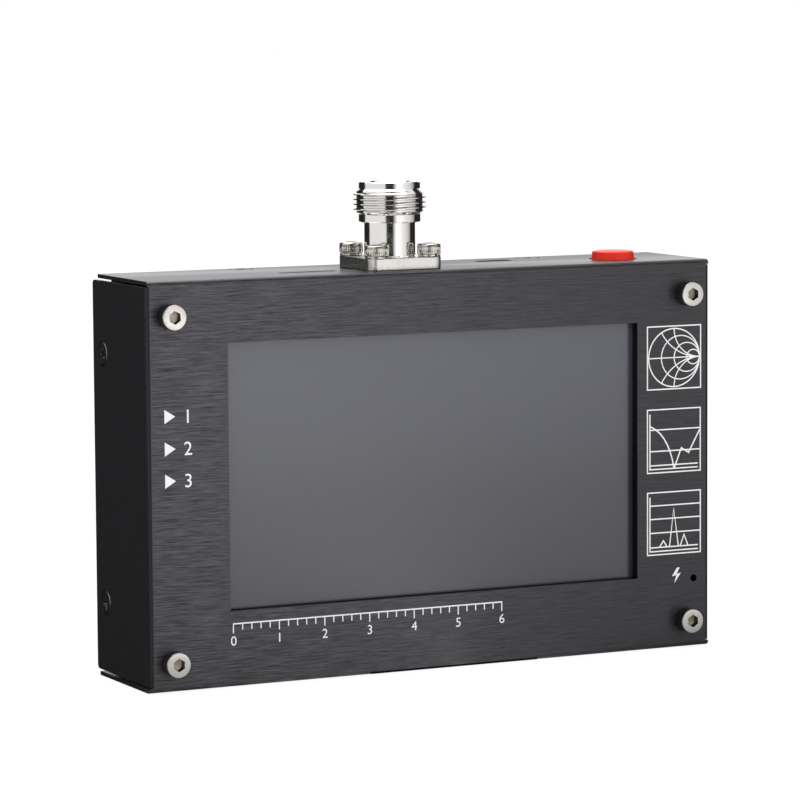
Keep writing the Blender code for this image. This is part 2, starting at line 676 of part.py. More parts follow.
def cross_recess():
    """Tapered cross for a screwdriver, open at z = 0."""
    bm = bmesh.new()
    loops = []
    for z, share in ((OVERRUN, 1.0), (0, 1.0), (-CROSS_DEPTH, CROSS_TAPER_SHARE)):
        long, short = CROSS_LENGTH / 2 * share, CROSS_WIDTH / 2 * share
        quarter = [(long, -short), (long, short), (short, short)]
        points = []
        for turn in range(4):
            spin = Matrix.Rotation(turn * math.pi / 2, 2)
            points += [spin @ Vector(point) for point in quarter]
        loops.append([bm.verts.new((x, y, z)) for x, y in points])
    for upper, lower in zip(loops, loops[1:]):
        for k in range(len(upper)):
            after = (k + 1) % len(upper)
            bm.faces.new((upper[k], upper[after], lower[after], lower[k]))
    bm.faces.new(loops[0])
    bm.faces.new(loops[-1])
    bmesh.ops.recalc_face_normals(bm, faces=bm.faces)
    return bm


def add_front_screws(parent):
    screw = cap_screw(CAP_HEAD_RADIUS, CAP_HEAD_HEIGHT, CAP_HEAD_CHAMFER, FRONT_SCREW_LENGTH)
    mesh = evaluated_mesh("front_screw", screw, hex_socket(CAP_HEAD_HEIGHT))
    add_copies("front_screw", mesh, BRIGHT_STEEL_LOOK, front_screw_places(-SEAT), parent)


def add_stack_hardware(parent):
    """Spacers, standoffs and rear screws that hold both boards on the front screws."""
    spacer = tube(HOLE_RADIUS, SPACER_RADIUS, 2 * SEAT + SHEET - MAIN_FRONT, 0, SMALL_ROUND_STEPS)
    add_copies("front_spacer", mesh_from("front_spacer", spacer), BRASS_LOOK,
               front_screw_places(SHEET + SEAT), parent)

    length = BOARD_SPACING - 2 * SEAT
    bore = rod(HOLE_RADIUS, -length - OVERRUN, OVERRUN, SMALL_ROUND_STEPS)
    mesh = evaluated_mesh("rear_standoff", hexagon(STANDOFF_WIDTH, -length, 0), bore)
    add_copies("rear_standoff", mesh, BRASS_LOOK, front_screw_places(MAIN_REAR + SEAT), parent)

    screw = cap_screw(BOARD_SCREW_HEAD_RADIUS, BOARD_SCREW_HEAD_HEIGHT, CAP_HEAD_CHAMFER,
                      BOARD_SCREW_LENGTH, SMALL_ROUND_STEPS)
    add_copies("board_screw", mesh_from("board_screw", screw), BRIGHT_STEEL_LOOK,
               front_screw_places(RF_REAR + SEAT, REAR), parent)


def add_cover_screws(parent):
    screw = turned(flat_head_profile(0, 0), MEDIUM_ROUND_STEPS)
    mesh = evaluated_mesh("cover_screw", screw, cross_recess())
    add_copies("cover_screw", mesh, BLACK_STEEL_LOOK, cover_screw_places(), parent)


# Screen

def display_slab(front, rear, shrink):
    return slab(WINDOW_X, WINDOW_Z, DISPLAY_WIDTH - 2 * shrink, DISPLAY_HEIGHT - 2 * shrink, front, rear)


def add_screen(parent):
    gasket = add_piece("window_gasket", display_slab(GASKET_FRONT, GASKET_FRONT + GASKET_THICKNESS, 0),
                       FOAM_LOOK, parent)
    opening = slab(WINDOW_X, WINDOW_Z, WINDOW_WIDTH + 2 * GASKET_MARGIN,
                   WINDOW_HEIGHT + 2 * GASKET_MARGIN, 0, GASKET_FRONT + GASKET_THICKNESS + OVERRUN)
    add_boolean(gasket, "window_gasket_opening", opening, "DIFFERENCE")

    add_piece("touch_panel", display_slab(TOUCH_FRONT, TOUCH_FRONT + TOUCH_THICKNESS, 0),
              SCREEN_LOOK, parent)

    frame = add_piece("lcd_frame", display_slab(LCD_FRAME_FRONT, LCD_FRAME_REAR, 0),
                      TINNED_STEEL_LOOK, parent)
    hollow = display_slab(LCD_FRAME_FRONT - OVERRUN, LCD_FRAME_REAR - LCD_FRAME_BACK, LCD_FRAME_WALL)
    add_boolean(frame, "lcd_frame_hollow", hollow, "DIFFERENCE")

    inside = LCD_FRAME_WALL + SEAT
    add_piece("lcd_glass", display_slab(LCD_REAR - LCD_THICKNESS, LCD_REAR, inside),
              DARK_GLASS_LOOK, parent)
    add_piece("lcd_backlight", display_slab(BACKLIGHT_FRONT, BACKLIGHT_REAR, inside),
              WHITE_PLASTIC_LOOK, parent)


def flex_path():
    """Centre line of the display cable in (depth, z): down, back through the board and up."""
    down = (LCD_FRAME_FRONT + LCD_FRAME_REAR) / 2
    up = MAIN_REAR + SEAT + FLEX_CONNECTOR_THICKNESS / 2
    low = FLEX_SLOT_Z
    start = (down, DISPLAY_BOTTOM - SEAT)
    end = (up, FLEX_CONNECTOR_Z - FLEX_CONNECTOR_HEIGHT / 2 - SEAT)
    path = [start]
    for centre, first in ((down + FLEX_BEND_RADIUS, math.pi), (up - FLEX_BEND_RADIUS, 1.5 * math.pi)):
        for step in range(CORNER_STEPS + 1):
            angle = first + step / CORNER_STEPS * math.pi / 2
            path.append((centre + FLEX_BEND_RADIUS * math.cos(angle),
                         low + FLEX_BEND_RADIUS + FLEX_BEND_RADIUS * math.sin(angle)))
    path.append(end)
    return path


def ribbon_outline(path, thickness):
    """Outline of a strip of even thickness that follows path."""
    left, right = [], []
    for k, point in enumerate(path):
        before, after = Vector(path[max(k - 1, 0)]), Vector(path[min(k + 1, len(path) - 1)])
        along = (after - before).normalized()
        across = Vector((-along.y, along.x)) * thickness / 2
        left.append(Vector(point) + across)
        right.append(Vector(point) - across)
    return [tuple(point) for point in left + right[::-1]]


def extruded_along_x(outline, low, high):
    """Outline in (depth, z), extruded from x = low to x = high."""
    bm = extruded(outline, low, high)
    bm.transform(Matrix(((0, 0, 1, 0), (1, 0, 0, 0), (0, 1, 0, 0), (0, 0, 0, 1))))
    return bm


def add_flex(parent):
    bm = extruded_along_x(ribbon_outline(flex_path(), FLEX_THICKNESS), WINDOW_X - FLEX_WIDTH / 2,
                          WINDOW_X + FLEX_WIDTH / 2)
    add_piece("lcd_flex", bm, FILM_LOOK, parent)


# Boards, each one body with the parts soldered to it

def board_blank(front):
    return block((-BOARD_HALF, front, BOARD_BOTTOM), (BOARD_HALF, front + BOARD_THICKNESS, BOARD_TOP))


def board_holes(front):
    return repeated(lambda: rod(HOLE_RADIUS, -BOARD_THICKNESS - OVERRUN, OVERRUN, SMALL_ROUND_STEPS),
                    front_screw_places(front))


def soldered(size, spot, face):
    """Block that stands on a board's rear face and reaches into the board, ready to be joined."""
    width, height, thickness = size
    return slab(*spot, width, height, face - BOARD_THICKNESS / 2, face + thickness)


def add_main_board(parent):
    board = add_piece("main_board", board_blank(MAIN_FRONT), BOARD_LOOK, parent)
    header = (*HEADER_SIZE, BOARD_SPACING - SEAT)
    flex_connector = (FLEX_WIDTH, FLEX_CONNECTOR_HEIGHT, SEAT + FLEX_CONNECTOR_THICKNESS)
    parts = joined([
        soldered(PROCESSOR_SIZE, (PROCESSOR_X, BOARD_MIDDLE), MAIN_REAR),
        soldered(MEMORY_SIZE, (MEMORY_X, BOARD_MIDDLE), MAIN_REAR),
        soldered(header, (HEADER_SIDE_INSET - BOARD_HALF, BOARD_MIDDLE), MAIN_REAR),
        soldered(flex_connector, (WINDOW_X, FLEX_CONNECTOR_Z), MAIN_REAR),
    ])
    add_boolean(board, "main_board_parts", parts, "UNION")
    slot = slab(WINDOW_X, FLEX_SLOT_Z, FLEX_WIDTH + 2 * SEAT, FLEX_SLOT_HEIGHT, MAIN_FRONT - OVERRUN,
                MAIN_REAR + OVERRUN)
    add_boolean(board, "main_board_holes", joined([board_holes(MAIN_FRONT), slot]), "DIFFERENCE")


def add_rf_board(parent):
    board = add_piece("rf_board", board_blank(RF_FRONT), BOARD_LOOK, parent)
    socket = (SOCKET_LENGTH, SOCKET_WIDTH, SOCKET_HEIGHT)
    parts = [soldered(CHARGER_SIZE, (CHARGER_X, BOARD_TOP - CHARGER_TOP_INSET), RF_REAR),
             soldered(socket, (SOCKET_X, SOCKET_Z), RF_REAR)]
    add_boolean(board, "rf_board_parts", joined(parts), "UNION")
    left, right = SOCKET_X - SOCKET_LENGTH / 2, SOCKET_X + SOCKET_LENGTH / 2
    hollow = socket_box(left - OVERRUN, right - SOCKET_WALL, SOCKET_WALL)
    add_boolean(board, "rf_board_holes", joined([board_holes(RF_FRONT), hollow]), "DIFFERENCE")
    width, height, thickness = SHIELD_SIZE
    front = RF_REAR + SEAT
    shield = slab(SHIELD_X, BOARD_TOP - SHIELD_TOP_INSET, width, height, front, front + thickness)
    add_piece("rf_shield", shield, TINNED_STEEL_LOOK, parent)


def add_card_socket(parent):
    top = TOP_INNER - SEAT
    front = MAIN_REAR + SEAT
    half = CARD_SOCKET_WIDTH / 2
    bm = block((CARD_X - half, front, top - CARD_SOCKET_LENGTH),
               (CARD_X + half, front + CARD_SOCKET_HEIGHT, top))
    socket = add_piece("microsd_socket", bm, TINNED_STEEL_LOOK, parent)
    mouth = block((CARD_X - CARD_MOUTH_WIDTH / 2, CARD_DEPTH - CARD_MOUTH_HEIGHT / 2,
                   top - CARD_MOUTH_DEPTH),
                  (CARD_X + CARD_MOUTH_WIDTH / 2, CARD_DEPTH + CARD_MOUTH_HEIGHT / 2, top + OVERRUN))
    add_boolean(socket, "microsd_mouth", mouth, "DIFFERENCE")


def usb_box(width, thickness, low, high):
    return block((USB_X - width / 2, USB_DEPTH - thickness / 2, low),
                 (USB_X + width / 2, USB_DEPTH + thickness / 2, high))


def add_usb_socket(parent):
    top = TOP_INNER - SEAT
    bottom = top - USB_SHELL_LENGTH
    floor = bottom + USB_SHELL_WALL
    socket = add_piece("micro_usb_socket", usb_box(USB_SHELL_WIDTH, USB_SHELL_HEIGHT, bottom, top),
                       TINNED_STEEL_LOOK, parent)
    hollow = usb_box(USB_SHELL_WIDTH - 2 * USB_SHELL_WALL, USB_SHELL_HEIGHT - 2 * USB_SHELL_WALL,
                     floor, top + OVERRUN)
    add_boolean(socket, "micro_usb_hollow", hollow, "DIFFERENCE")
    tongue = usb_box(USB_TONGUE_WIDTH, USB_TONGUE_THICKNESS, floor - USB_SHELL_WALL / 2,
                     floor + USB_TONGUE_LENGTH)
    add_boolean(socket, "micro_usb_tongue", tongue, "UNION")


def add_led(parent):
    rear = MAIN_FRONT - SEAT
    bm = slab(LED_X, LED_Z, LED_WIDTH, LED_WIDTH, rear - LED_THICKNESS, rear)
    add_piece("charging_led", bm, WHITE_PLASTIC_LOOK, parent)


# N-type socket

def thread_profile(top):
    """Ridges of the outer thread as (radius, height), from its top down."""
    points = []
    for turn in range(THREAD_TURNS):
        crest = top - THREAD_CHAMFER - turn * THREAD_PITCH
        points += [(THREAD_RADIUS, crest), (THREAD_ROOT_RADIUS, crest - THREAD_PITCH / 2)]
    points.append((THREAD_RADIUS, top - THREAD_LENGTH))
    return points


def barrel_shape():
    """Outside of the turned socket about Z, from z = 0 at the top of the flange."""
    collar = BARREL_LENGTH
    relief = collar + COLLAR_LENGTH
    rim = RIM_HEIGHT - RIM_LENGTH
    root = FLANGE_THICKNESS / 2
    profile = [(0, RIM_HEIGHT), (RIM_RADIUS - RIM_CHAMFER, RIM_HEIGHT),
               (RIM_RADIUS, RIM_HEIGHT - RIM_CHAMFER), (RIM_RADIUS, rim)]
    profile += thread_profile(rim)
    profile += [(COLLAR_RADIUS, relief), (COLLAR_RADIUS, collar), (BARREL_RADIUS, collar),
                (BARREL_RADIUS, -root), (0, -root)]
    return turned(profile, LARGE_ROUND_STEPS)


def at_connector(bm, z):
    bmesh.ops.translate(bm, verts=bm.verts, vec=(CONNECTOR_X, CONNECTOR_DEPTH, z))
    return bm


def add_connector(parent):
    outline = rounded_outline(FLANGE_WIDTH, FLANGE_WIDTH, FLANGE_CORNER_RADIUS)
    flange = at_connector(extruded(outline, 0, FLANGE_THICKNESS), FLANGE_BOTTOM)
    body = add_piece("n_connector_body", flange, NICKEL_LOOK, parent, smooth=True)
    add_boolean(body, "n_connector_barrel", at_connector(barrel_shape(), FLANGE_TOP), "UNION")
    seat_radius = INSULATOR_RADIUS + SEAT
    step = CONNECTOR_TOP - MOUTH_DEPTH
    bore = turned([(0, CONNECTOR_TOP + OVERRUN), (MOUTH_RADIUS, CONNECTOR_TOP + OVERRUN),
                   (MOUTH_RADIUS, step), (seat_radius, step), (seat_radius, FLANGE_BOTTOM - OVERRUN),
                   (0, FLANGE_BOTTOM - OVERRUN)], LARGE_ROUND_STEPS)
    holes = repeated(lambda: rod(HOLE_RADIUS, -FLANGE_THICKNESS - OVERRUN, OVERRUN),
                     connector_screw_places(FLANGE_TOP))
    add_boolean(body, "n_connector_bores", joined([at_connector(bore, 0), holes]), "DIFFERENCE")

    top = step - SEAT
    bottom = TOP_INNER - INSULATOR_TAIL
    insulator = tube(CONTACT_RADIUS + SEAT, INSULATOR_RADIUS, bottom, top)
    add_piece("n_connector_insulator", at_connector(insulator, 0), WHITE_PLASTIC_LOOK, parent,
              smooth=True)

    tip = CONNECTOR_TOP - CONTACT_RECESS
    contact = turned([
        (0, tip - CONTACT_BORE_DEPTH), (CONTACT_BORE_RADIUS, tip - CONTACT_BORE_DEPTH),
        (CONTACT_BORE_RADIUS, tip), (CONTACT_RADIUS, tip), (CONTACT_RADIUS, bottom),
        (CONTACT_TAIL_RADIUS, bottom), (CONTACT_TAIL_RADIUS, TOP_INNER - CONTACT_TAIL_LENGTH),
        (0, TOP_INNER - CONTACT_TAIL_LENGTH),
    ])
    add_piece("n_connector_contact", at_connector(contact, 0), GOLD_LOOK, parent, smooth=True)


def lock_washer():
    """Split spring washer about Z, resting on z = 0."""
    bm = bmesh.new()
    ring = [(HOLE_RADIUS, 0), (LOCK_WASHER_RADIUS, 0), (LOCK_WASHER_RADIUS, LOCK_WASHER_THICKNESS),
            (HOLE_RADIUS, LOCK_WASHER_THICKNESS)]
    face = bm.faces.new([bm.verts.new((radius, 0, z)) for radius, z in ring])
    bmesh.ops.spin(bm, geom=[face, *face.edges, *face.verts], cent=(0, 0, 0), axis=UP,
                   angle=math.tau - LOCK_WASHER_GAP_ANGLE, steps=MEDIUM_ROUND_STEPS)
    bmesh.ops.recalc_face_normals(bm, faces=bm.faces)
    return bm


def add_connector_hardware(parent):
    washer_seat = FLANGE_TOP + SEAT
    head_seat = washer_seat + LOCK_WASHER_THICKNESS + SEAT
    add_copies("connector_washer", mesh_from("connector_washer", lock_washer()), BRIGHT_STEEL_LOOK,
               connector_screw_places(washer_seat), parent)
    screw = cap_screw(CONNECTOR_HEAD_RADIUS, CONNECTOR_HEAD_HEIGHT, CONNECTOR_HEAD_CHAMFER,
                      CONNECTOR_SCREW_LENGTH, MEDIUM_ROUND_STEPS)
    mesh = evaluated_mesh("connector_screw", screw, hex_socket(CONNECTOR_HEAD_HEIGHT))
    add_copies("connector_screw", mesh, BRIGHT_STEEL_LOOK, connector_screw_places(head_seat), parent)

    outline = rounded_outline(FLANGE_WIDTH, FLANGE_WIDTH, FLANGE_CORNER_RADIUS)
    top = TOP_INNER - SEAT
    blank = at_connector(extruded(outline, top - NUT_PLATE_THICKNESS, top), 0)
    plate = add_piece("connector_nut_plate", blank, BRIGHT_STEEL_LOOK, parent)
    bores = repeated(lambda: rod(HOLE_RADIUS, -NUT_PLATE_THICKNESS - OVERRUN, OVERRUN, SMALL_ROUND_STEPS),
                     connector_screw_places(top))
    middle = rod(INSULATOR_RADIUS + SEAT, top - NUT_PLATE_THICKNESS - OVERRUN, top + OVERRUN)
    add_boolean(plate, "connector_nut_plate_bores", joined([bores, at_connector(middle, 0)]), "DIFFERENCE")


def add_rf_link(parent):
    """Strip that carries the signal from the socket's contact to the rear board."""
    top = TOP_INNER - CONTACT_TAIL_LENGTH - SEAT
    front = CONNECTOR_DEPTH - CONTACT_TAIL_RADIUS
    rear = RF_FRONT - SEAT
    outline = [(front, top), (front, top - LINK_THICKNESS),
               (rear - LINK_THICKNESS, top - LINK_THICKNESS), (rear - LINK_THICKNESS, top - LINK_DROP),
               (rear, top - LINK_DROP), (rear, top)]
    bm = extruded_along_x(outline, CONNECTOR_X - LINK_WIDTH / 2, CONNECTOR_X + LINK_WIDTH / 2)
    add_piece("rf_link", bm, GOLD_LOOK, parent)


# Power button: pieces about the button's axis, with z = 0 at the top of the case

def add_button(axis):
    hub_bottom = DISC_BOTTOM - BUTTON_HUB_LENGTH
    bore = PLUNGER_RADIUS + SEAT
    cap = turned([
        (0, BUTTON_PROUD), (BUTTON_TOP_RADIUS - BUTTON_EDGE, BUTTON_PROUD),
        (BUTTON_TOP_RADIUS, BUTTON_PROUD - BUTTON_EDGE), (BUTTON_RADIUS, DISC_BOTTOM),
        (BUTTON_HUB_RADIUS, DISC_BOTTOM), (BUTTON_HUB_RADIUS, hub_bottom), (bore, hub_bottom),
        (bore, DISC_BOTTOM), (0, DISC_BOTTOM),
    ], LARGE_ROUND_STEPS)
    add_piece("power_button_cap", cap, RED_PLASTIC_LOOK, axis, smooth=True)

    shoulder = CHAMBER_RADIUS - SEAT
    plunger = turned([
        (0, DISC_BOTTOM - SEAT), (PLUNGER_RADIUS, DISC_BOTTOM - SEAT), (PLUNGER_RADIUS, SHOULDER_TOP),
        (shoulder, SHOULDER_TOP), (shoulder, SHOULDER_BOTTOM), (0, SHOULDER_BOTTOM),
    ])
    add_piece("power_switch_plunger", plunger, WHITE_PLASTIC_LOOK, axis, smooth=True)


def add_switch(axis):
    half = SWITCH_WIDTH / 2
    top = -SWITCH_DROP
    bottom = top - SWITCH_HEIGHT
    housing = add_piece("power_switch_housing", block((-half, -half, bottom), (half, half, top)),
                        BLACK_PLASTIC_LOOK, axis)
    roof = top - SWITCH_ROOF
    neck = PLUNGER_RADIUS + SEAT
    chamber = turned([(0, top + OVERRUN), (neck, top + OVERRUN), (neck, roof), (CHAMBER_RADIUS, roof),
                      (CHAMBER_RADIUS, bottom - OVERRUN), (0, bottom - OVERRUN)])
    add_boolean(housing, "power_switch_chamber", chamber, "DIFFERENCE")
    base_top = bottom - SEAT
    base = block((-half, -half, base_top - SWITCH_BASE_THICKNESS), (half, half, base_top))
    add_piece("power_switch_base", base, BLACK_PLASTIC_LOOK, axis)
    add_spring(base_top + SEAT, SHOULDER_BOTTOM - SEAT, axis)


def add_tube(name, points, radius, look, parent):
    """Round wire along points, with closed ends."""
    curve = bpy.data.curves.new(name, "CURVE")
    curve.dimensions = "3D"
    curve.bevel_depth = radius
    curve.bevel_resolution = 1
    curve.use_fill_caps = True
    spline = curve.splines.new("POLY")
    spline.points.add(len(points) - 1)
    for target, point in zip(spline.points, points):
        target.co = (*point, 1.0)
    curve.materials.append(make_material(name, *look))
    place(name, curve, parent)


def add_spring(low, high, axis):
    """Return spring of the switch, wound about the button's axis."""
    steps = SPRING_TURNS * SPRING_STEPS_PER_TURN
    first, last = low + SPRING_WIRE_RADIUS, high - SPRING_WIRE_RADIUS
    points = []
    for step in range(steps + 1):
        angle = step / SPRING_STEPS_PER_TURN * math.tau
        points.append((SPRING_RADIUS * math.cos(angle), SPRING_RADIUS * math.sin(angle),
                       first + (last - first) * step / steps))
    add_tube("power_switch_spring", points, SPRING_WIRE_RADIUS, BRIGHT_STEEL_LOOK, axis)


# Battery

def add_battery(parent):
    outline = rounded_outline(BATTERY_WIDTH, BATTERY_THICKNESS, BATTERY_CORNER_RADIUS)
    bm = extruded(outline, BATTERY_Z - BATTERY_HEIGHT / 2, BATTERY_Z + BATTERY_HEIGHT / 2)
    bmesh.ops.translate(bm, verts=bm.verts,
                        vec=(BATTERY_X, (BATTERY_FRONT + BATTERY_REAR) / 2, 0))
    add_piece("battery_cell", bm, FOIL_LOOK, parent, smooth=True)
    pad = slab(BATTERY_X, BATTERY_Z, BATTERY_WIDTH - 2 * PAD_MARGIN, BATTERY_HEIGHT - 2 * PAD_MARGIN,
               BATTERY_REAR + SEAT, BATTERY_REAR + SEAT + PAD_THICKNESS)
    add_piece("battery_pad", pad, FOAM_LOOK, parent)


def socket_box(left, right, shrink):
    """Box between two places in X about the battery socket's middle, shrink inside its faces."""
    middle = RF_REAR + SOCKET_HEIGHT / 2
    return slab((left + right) / 2, SOCKET_Z, right - left, SOCKET_WIDTH - 2 * shrink,
                middle - SOCKET_HEIGHT / 2 + shrink, middle + SOCKET_HEIGHT / 2 - shrink)


def add_battery_plug(parent):
    left, right = SOCKET_X - SOCKET_LENGTH / 2, SOCKET_X + SOCKET_LENGTH / 2
    plug = socket_box(left - PLUG_OUTSIDE, right - SOCKET_WALL - SEAT, SOCKET_WALL + SEAT)
    add_piece("battery_plug", plug, WHITE_PLASTIC_LOOK, parent)


def bezier(points, share):
    """Point at share of the way along the cubic curve with these four control points."""
    rest = 1 - share
    weights = (rest ** 3, 3 * rest ** 2 * share, 3 * rest * share ** 2, share ** 3)
    return sum((weight * point for weight, point in zip(weights, points)), Vector((0, 0, 0)))


def add_battery_cable(parent):
    start_x = BATTERY_X + BATTERY_WIDTH / 2 + SEAT
    end_x = SOCKET_X - SOCKET_LENGTH / 2 - PLUG_OUTSIDE - SEAT
    start = Vector((start_x, (BATTERY_FRONT + BATTERY_REAR) / 2, SOCKET_Z))
    end = Vector((end_x, RF_REAR + SOCKET_HEIGHT / 2, SOCKET_Z))
    pull = Vector(((end_x - start_x) / 2, 0, 0))
    controls = (start, start + pull, end - pull, end)
    points = [bezier(controls, step / CABLE_POINTS) for step in range(CABLE_POINTS + 1)]
    add_tube("battery_cable", points, CABLE_RADIUS, BLACK_PLASTIC_LOOK, parent)


def build():
    clear_scene()
    case = make_empty("case_front", (0, FRONT_Y, 0))
    button_axis = make_empty("button_axis", (BUTTON_X, FRONT_Y + BUTTON_DEPTH, CASE_HEIGHT))
    add_front_shell(case)
    add_rear_cover(case)
    add_front_screws(case)
    add_stack_hardware(case)
    add_cover_screws(case)
    add_screen(case)
    add_flex(case)
    add_main_board(case)
    add_rf_board(case)
    add_card_socket(case)
    add_usb_socket(case)
    add_led(case)
    add_connector(case)
    add_connector_hardware(case)
    add_rf_link(case)
    add_button(button_axis)
    add_switch(button_axis)
    add_battery(case)
    add_battery_plug(case)
    add_battery_cable(case)


build()
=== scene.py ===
"""Looks of the hand-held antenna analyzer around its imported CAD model.

Metres, +Z up, in the CAD model's frame. A depth is a distance behind the front face.
"""

import math

import bmesh
import bpy
from mathutils import Euler, Matrix, Vector


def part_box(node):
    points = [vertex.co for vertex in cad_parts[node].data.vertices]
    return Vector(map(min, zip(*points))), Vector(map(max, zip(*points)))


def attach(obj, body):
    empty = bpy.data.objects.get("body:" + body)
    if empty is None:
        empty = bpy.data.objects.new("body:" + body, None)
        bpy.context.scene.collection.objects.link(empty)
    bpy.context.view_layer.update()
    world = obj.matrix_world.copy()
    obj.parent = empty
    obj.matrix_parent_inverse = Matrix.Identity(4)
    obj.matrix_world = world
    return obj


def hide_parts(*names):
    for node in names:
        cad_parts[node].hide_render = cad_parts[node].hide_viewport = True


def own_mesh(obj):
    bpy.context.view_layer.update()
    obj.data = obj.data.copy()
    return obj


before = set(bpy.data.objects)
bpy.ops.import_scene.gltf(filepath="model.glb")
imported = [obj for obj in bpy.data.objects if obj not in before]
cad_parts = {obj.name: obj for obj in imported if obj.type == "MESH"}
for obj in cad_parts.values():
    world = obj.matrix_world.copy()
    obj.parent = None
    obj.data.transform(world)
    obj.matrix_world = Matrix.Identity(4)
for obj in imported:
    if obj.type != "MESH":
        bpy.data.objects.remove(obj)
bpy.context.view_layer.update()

MM = 0.001

# Case
SHELL_LOW, SHELL_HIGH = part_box("front_shell")
FRONT_Y = SHELL_LOW.y
CASE_MIDDLE = 0.15 * MM
CASE_WIDTH = SHELL_HIGH.x - SHELL_LOW.x
CASE_HEIGHT = SHELL_HIGH.z
SIDE_DEPTH = 29.6 * MM
TOP_DEPTH = 27.7 * MM
SHEET = 0.85 * MM
BEND_RADIUS = 1.0 * MM
BEND_STEPS = 10
CORNER_STEPS = 8
CORNER_RELIEF = 0.25 * MM
END_INSETS = {-1: (-0.2 * MM, 0.2 * MM), 1: (0.45 * MM, 0.25 * MM)}
SIDE_CORNER_RADIUS = 1.0 * MM
NEST = 1.25 * MM
COVER_FLANGE = 8.0 * MM
COVER_CORNER_RELIEF = 1.6 * MM
COVER_END_INSETS = {end: (3.0 * MM, 3.0 * MM) for end in (-1, 1)}
COVER_CORNER_RADIUS = 1.0 * MM
COVER_COLLAR_RADIUS = 2.4 * MM
COVER_COLLAR_HEIGHT = 1.6 * MM
RIM_REACH = 0.2 * MM
SIDEWAYS = 0.7
OVERRUN = 1.0 * MM
MERGE = 0.001 * MM
EDGE_BEVEL = 0.1 * MM
SMOOTH_ANGLE = math.radians(32.0)
BEVEL_ANGLE = math.radians(50.0)
BEVELLED_SMOOTH_ANGLE = math.radians(60.0)
WINDOW_X = 0.25 * MM
WINDOW_Z = 44.85 * MM
WINDOW_WIDTH = 99.0 * MM
WINDOW_HEIGHT = 57.2 * MM
BOTTOM_SLOT_X = (-16.3 * MM, 24.5 * MM)
BOTTOM_SLOT_END = 4.5 * MM
BOTTOM_SLOT_HEIGHT = 0.55 * MM
STRIP_FRONT = 0.3 * MM
STRIP_FOOT = 0.06 * MM
STRIP_GAP = 0.03 * MM
CARD_SLOT = (-26.2 * MM, 9.65 * MM, 13.5 * MM, 1.8 * MM)
USB_SLOT = (24.15 * MM, 20.0 * MM, 8.5 * MM, 3.2 * MM)
LED_PLACE = (64.15 * MM, 15.42 * MM)
LED_HOLE_RADIUS = 0.8 * MM

# Screws
FRONT_SCREW_MIDDLE = -0.2 * MM
FRONT_SCREW_X = 62.35 * MM
FRONT_SCREW_HEIGHTS = {"low": 6.2 * MM, "high": 79.53 * MM}
FRONT_SCREW_GAP = 0.25 * MM
FRONT_HEAD = (2.68 * MM, 3.0 * MM)
FRONT_SHANK = 12.0 * MM
COVER_SCREW_DEPTH = 24.5 * MM
COVER_SCREW_X = 35.2 * MM
COVER_SCREW_HEIGHTS = {"low": 16.2 * MM, "high": 70.1 * MM}
COVER_HEAD_RADIUS = 2.6 * MM
COVER_HEAD_GAP = 0.12 * MM
COVER_HEAD_LIP = 0.2 * MM
COVER_HEAD_EDGE = 0.1 * MM
COVER_HEAD_RIM = 0.15 * MM
COVER_SCREW_LENGTH = 5.5 * MM
HIGHLIGHT_DEPTH = 0.24 * MM
CROSS_REACH = 1.5 * MM
CROSS_HALF_WIDTH = 0.34 * MM
CROSS_LOOPS = ((0.5 * MM, 1.1), (0.0, 1.0), (-1.3 * MM, 0.42))
SHANK_RADIUS = 1.5 * MM
SHANK_HOLE_RADIUS = 1.75 * MM
HEX_WIDTH = 2.5 * MM
HEX_DEPTH = 1.7 * MM
HEX_CONE = 0.35 * MM
HEX_MARGIN = 0.28 * MM
HEX_TOP_MARGIN = 0.05 * MM
HEX_REACH = 3.0 * MM
KNURL_DEPTH = 0.13 * MM
KNURL_FOOT = 0.2 * MM
KNURL_NECK = 0.18 * MM
KNURL_ROWS = 4
KNURL_POWER = 0.7
FRONT_HEAD_EDGE = 0.2 * MM
FRONT_HEAD_GROOVES = 40
CONNECTOR_HEAD_EDGE = 0.55 * MM
CONNECTOR_HEAD_GROOVES = 36
HEAD_EDGE_STEPS = 4
HEAD_FOOT = ((0.05 * MM, 0.08 * MM), (0.15 * MM, 0.0))
SHANK_CHAMFER = 0.2 * MM

# N-type socket
CONNECTOR_X = -5.15 * MM
CONNECTOR_DEPTH = 12.2 * MM
FLANGE_WIDTH = 17.5 * MM
FLANGE_BOTTOM = 87.04 * MM
FLANGE_TOP = 89.6 * MM
FLANGE_CORNER_RADIUS = 2.0 * MM
FLANGE_HOLE_PITCH = 12.7 * MM
CONNECTOR_HEAD = (2.6 * MM, 2.35 * MM)
CONNECTOR_SHANK = 8.0 * MM
WASHER_THICKNESS = 0.5 * MM
WASHER_RADIUS = 2.5 * MM
SEAT = 0.02 * MM
BORE_GAP = 0.25 * MM
RIM_HEIGHT = 16.2 * MM
THREAD_PITCH = 1.058 * MM
THREAD_CREST = 8.05 * MM
THREAD_ROOT = 7.35 * MM
THREAD_ROWS = (3, 2, 3)
THREAD_CONE = 1.15
COLLAR_RADIUS = 6.85 * MM
COLLAR_HEIGHTS = (7.48 * MM, 9.16 * MM)
RIM_WIDTH = 1.45 * MM
RIM_RADIUS = 6.8 * MM
BARREL_RADIUS = 5.65 * MM
BARREL_FOOT = 1.0 * MM
BARREL_FILLET = 0.25 * MM
BARREL_STEPS = 144
SOCKET_EDGE = 0.15 * MM
MOUTH_RADIUS = 4.2 * MM
MOUTH_DEPTH = 9.2 * MM
MOUTH_CHAMFER = 0.5 * MM
INSULATOR_RADIUS = 3.2 * MM
INSULATOR_TAIL = 1.6 * MM
CONTACT_RADIUS = 1.52 * MM
CONTACT_RECESS = 4.9 * MM
CONTACT_BORE = (0.85 * MM, 3.0 * MM)
CONTACT_SLIT = (0.24 * MM, 2.6 * MM)
CONTACT_TAIL = (0.65 * MM, 5.5 * MM)

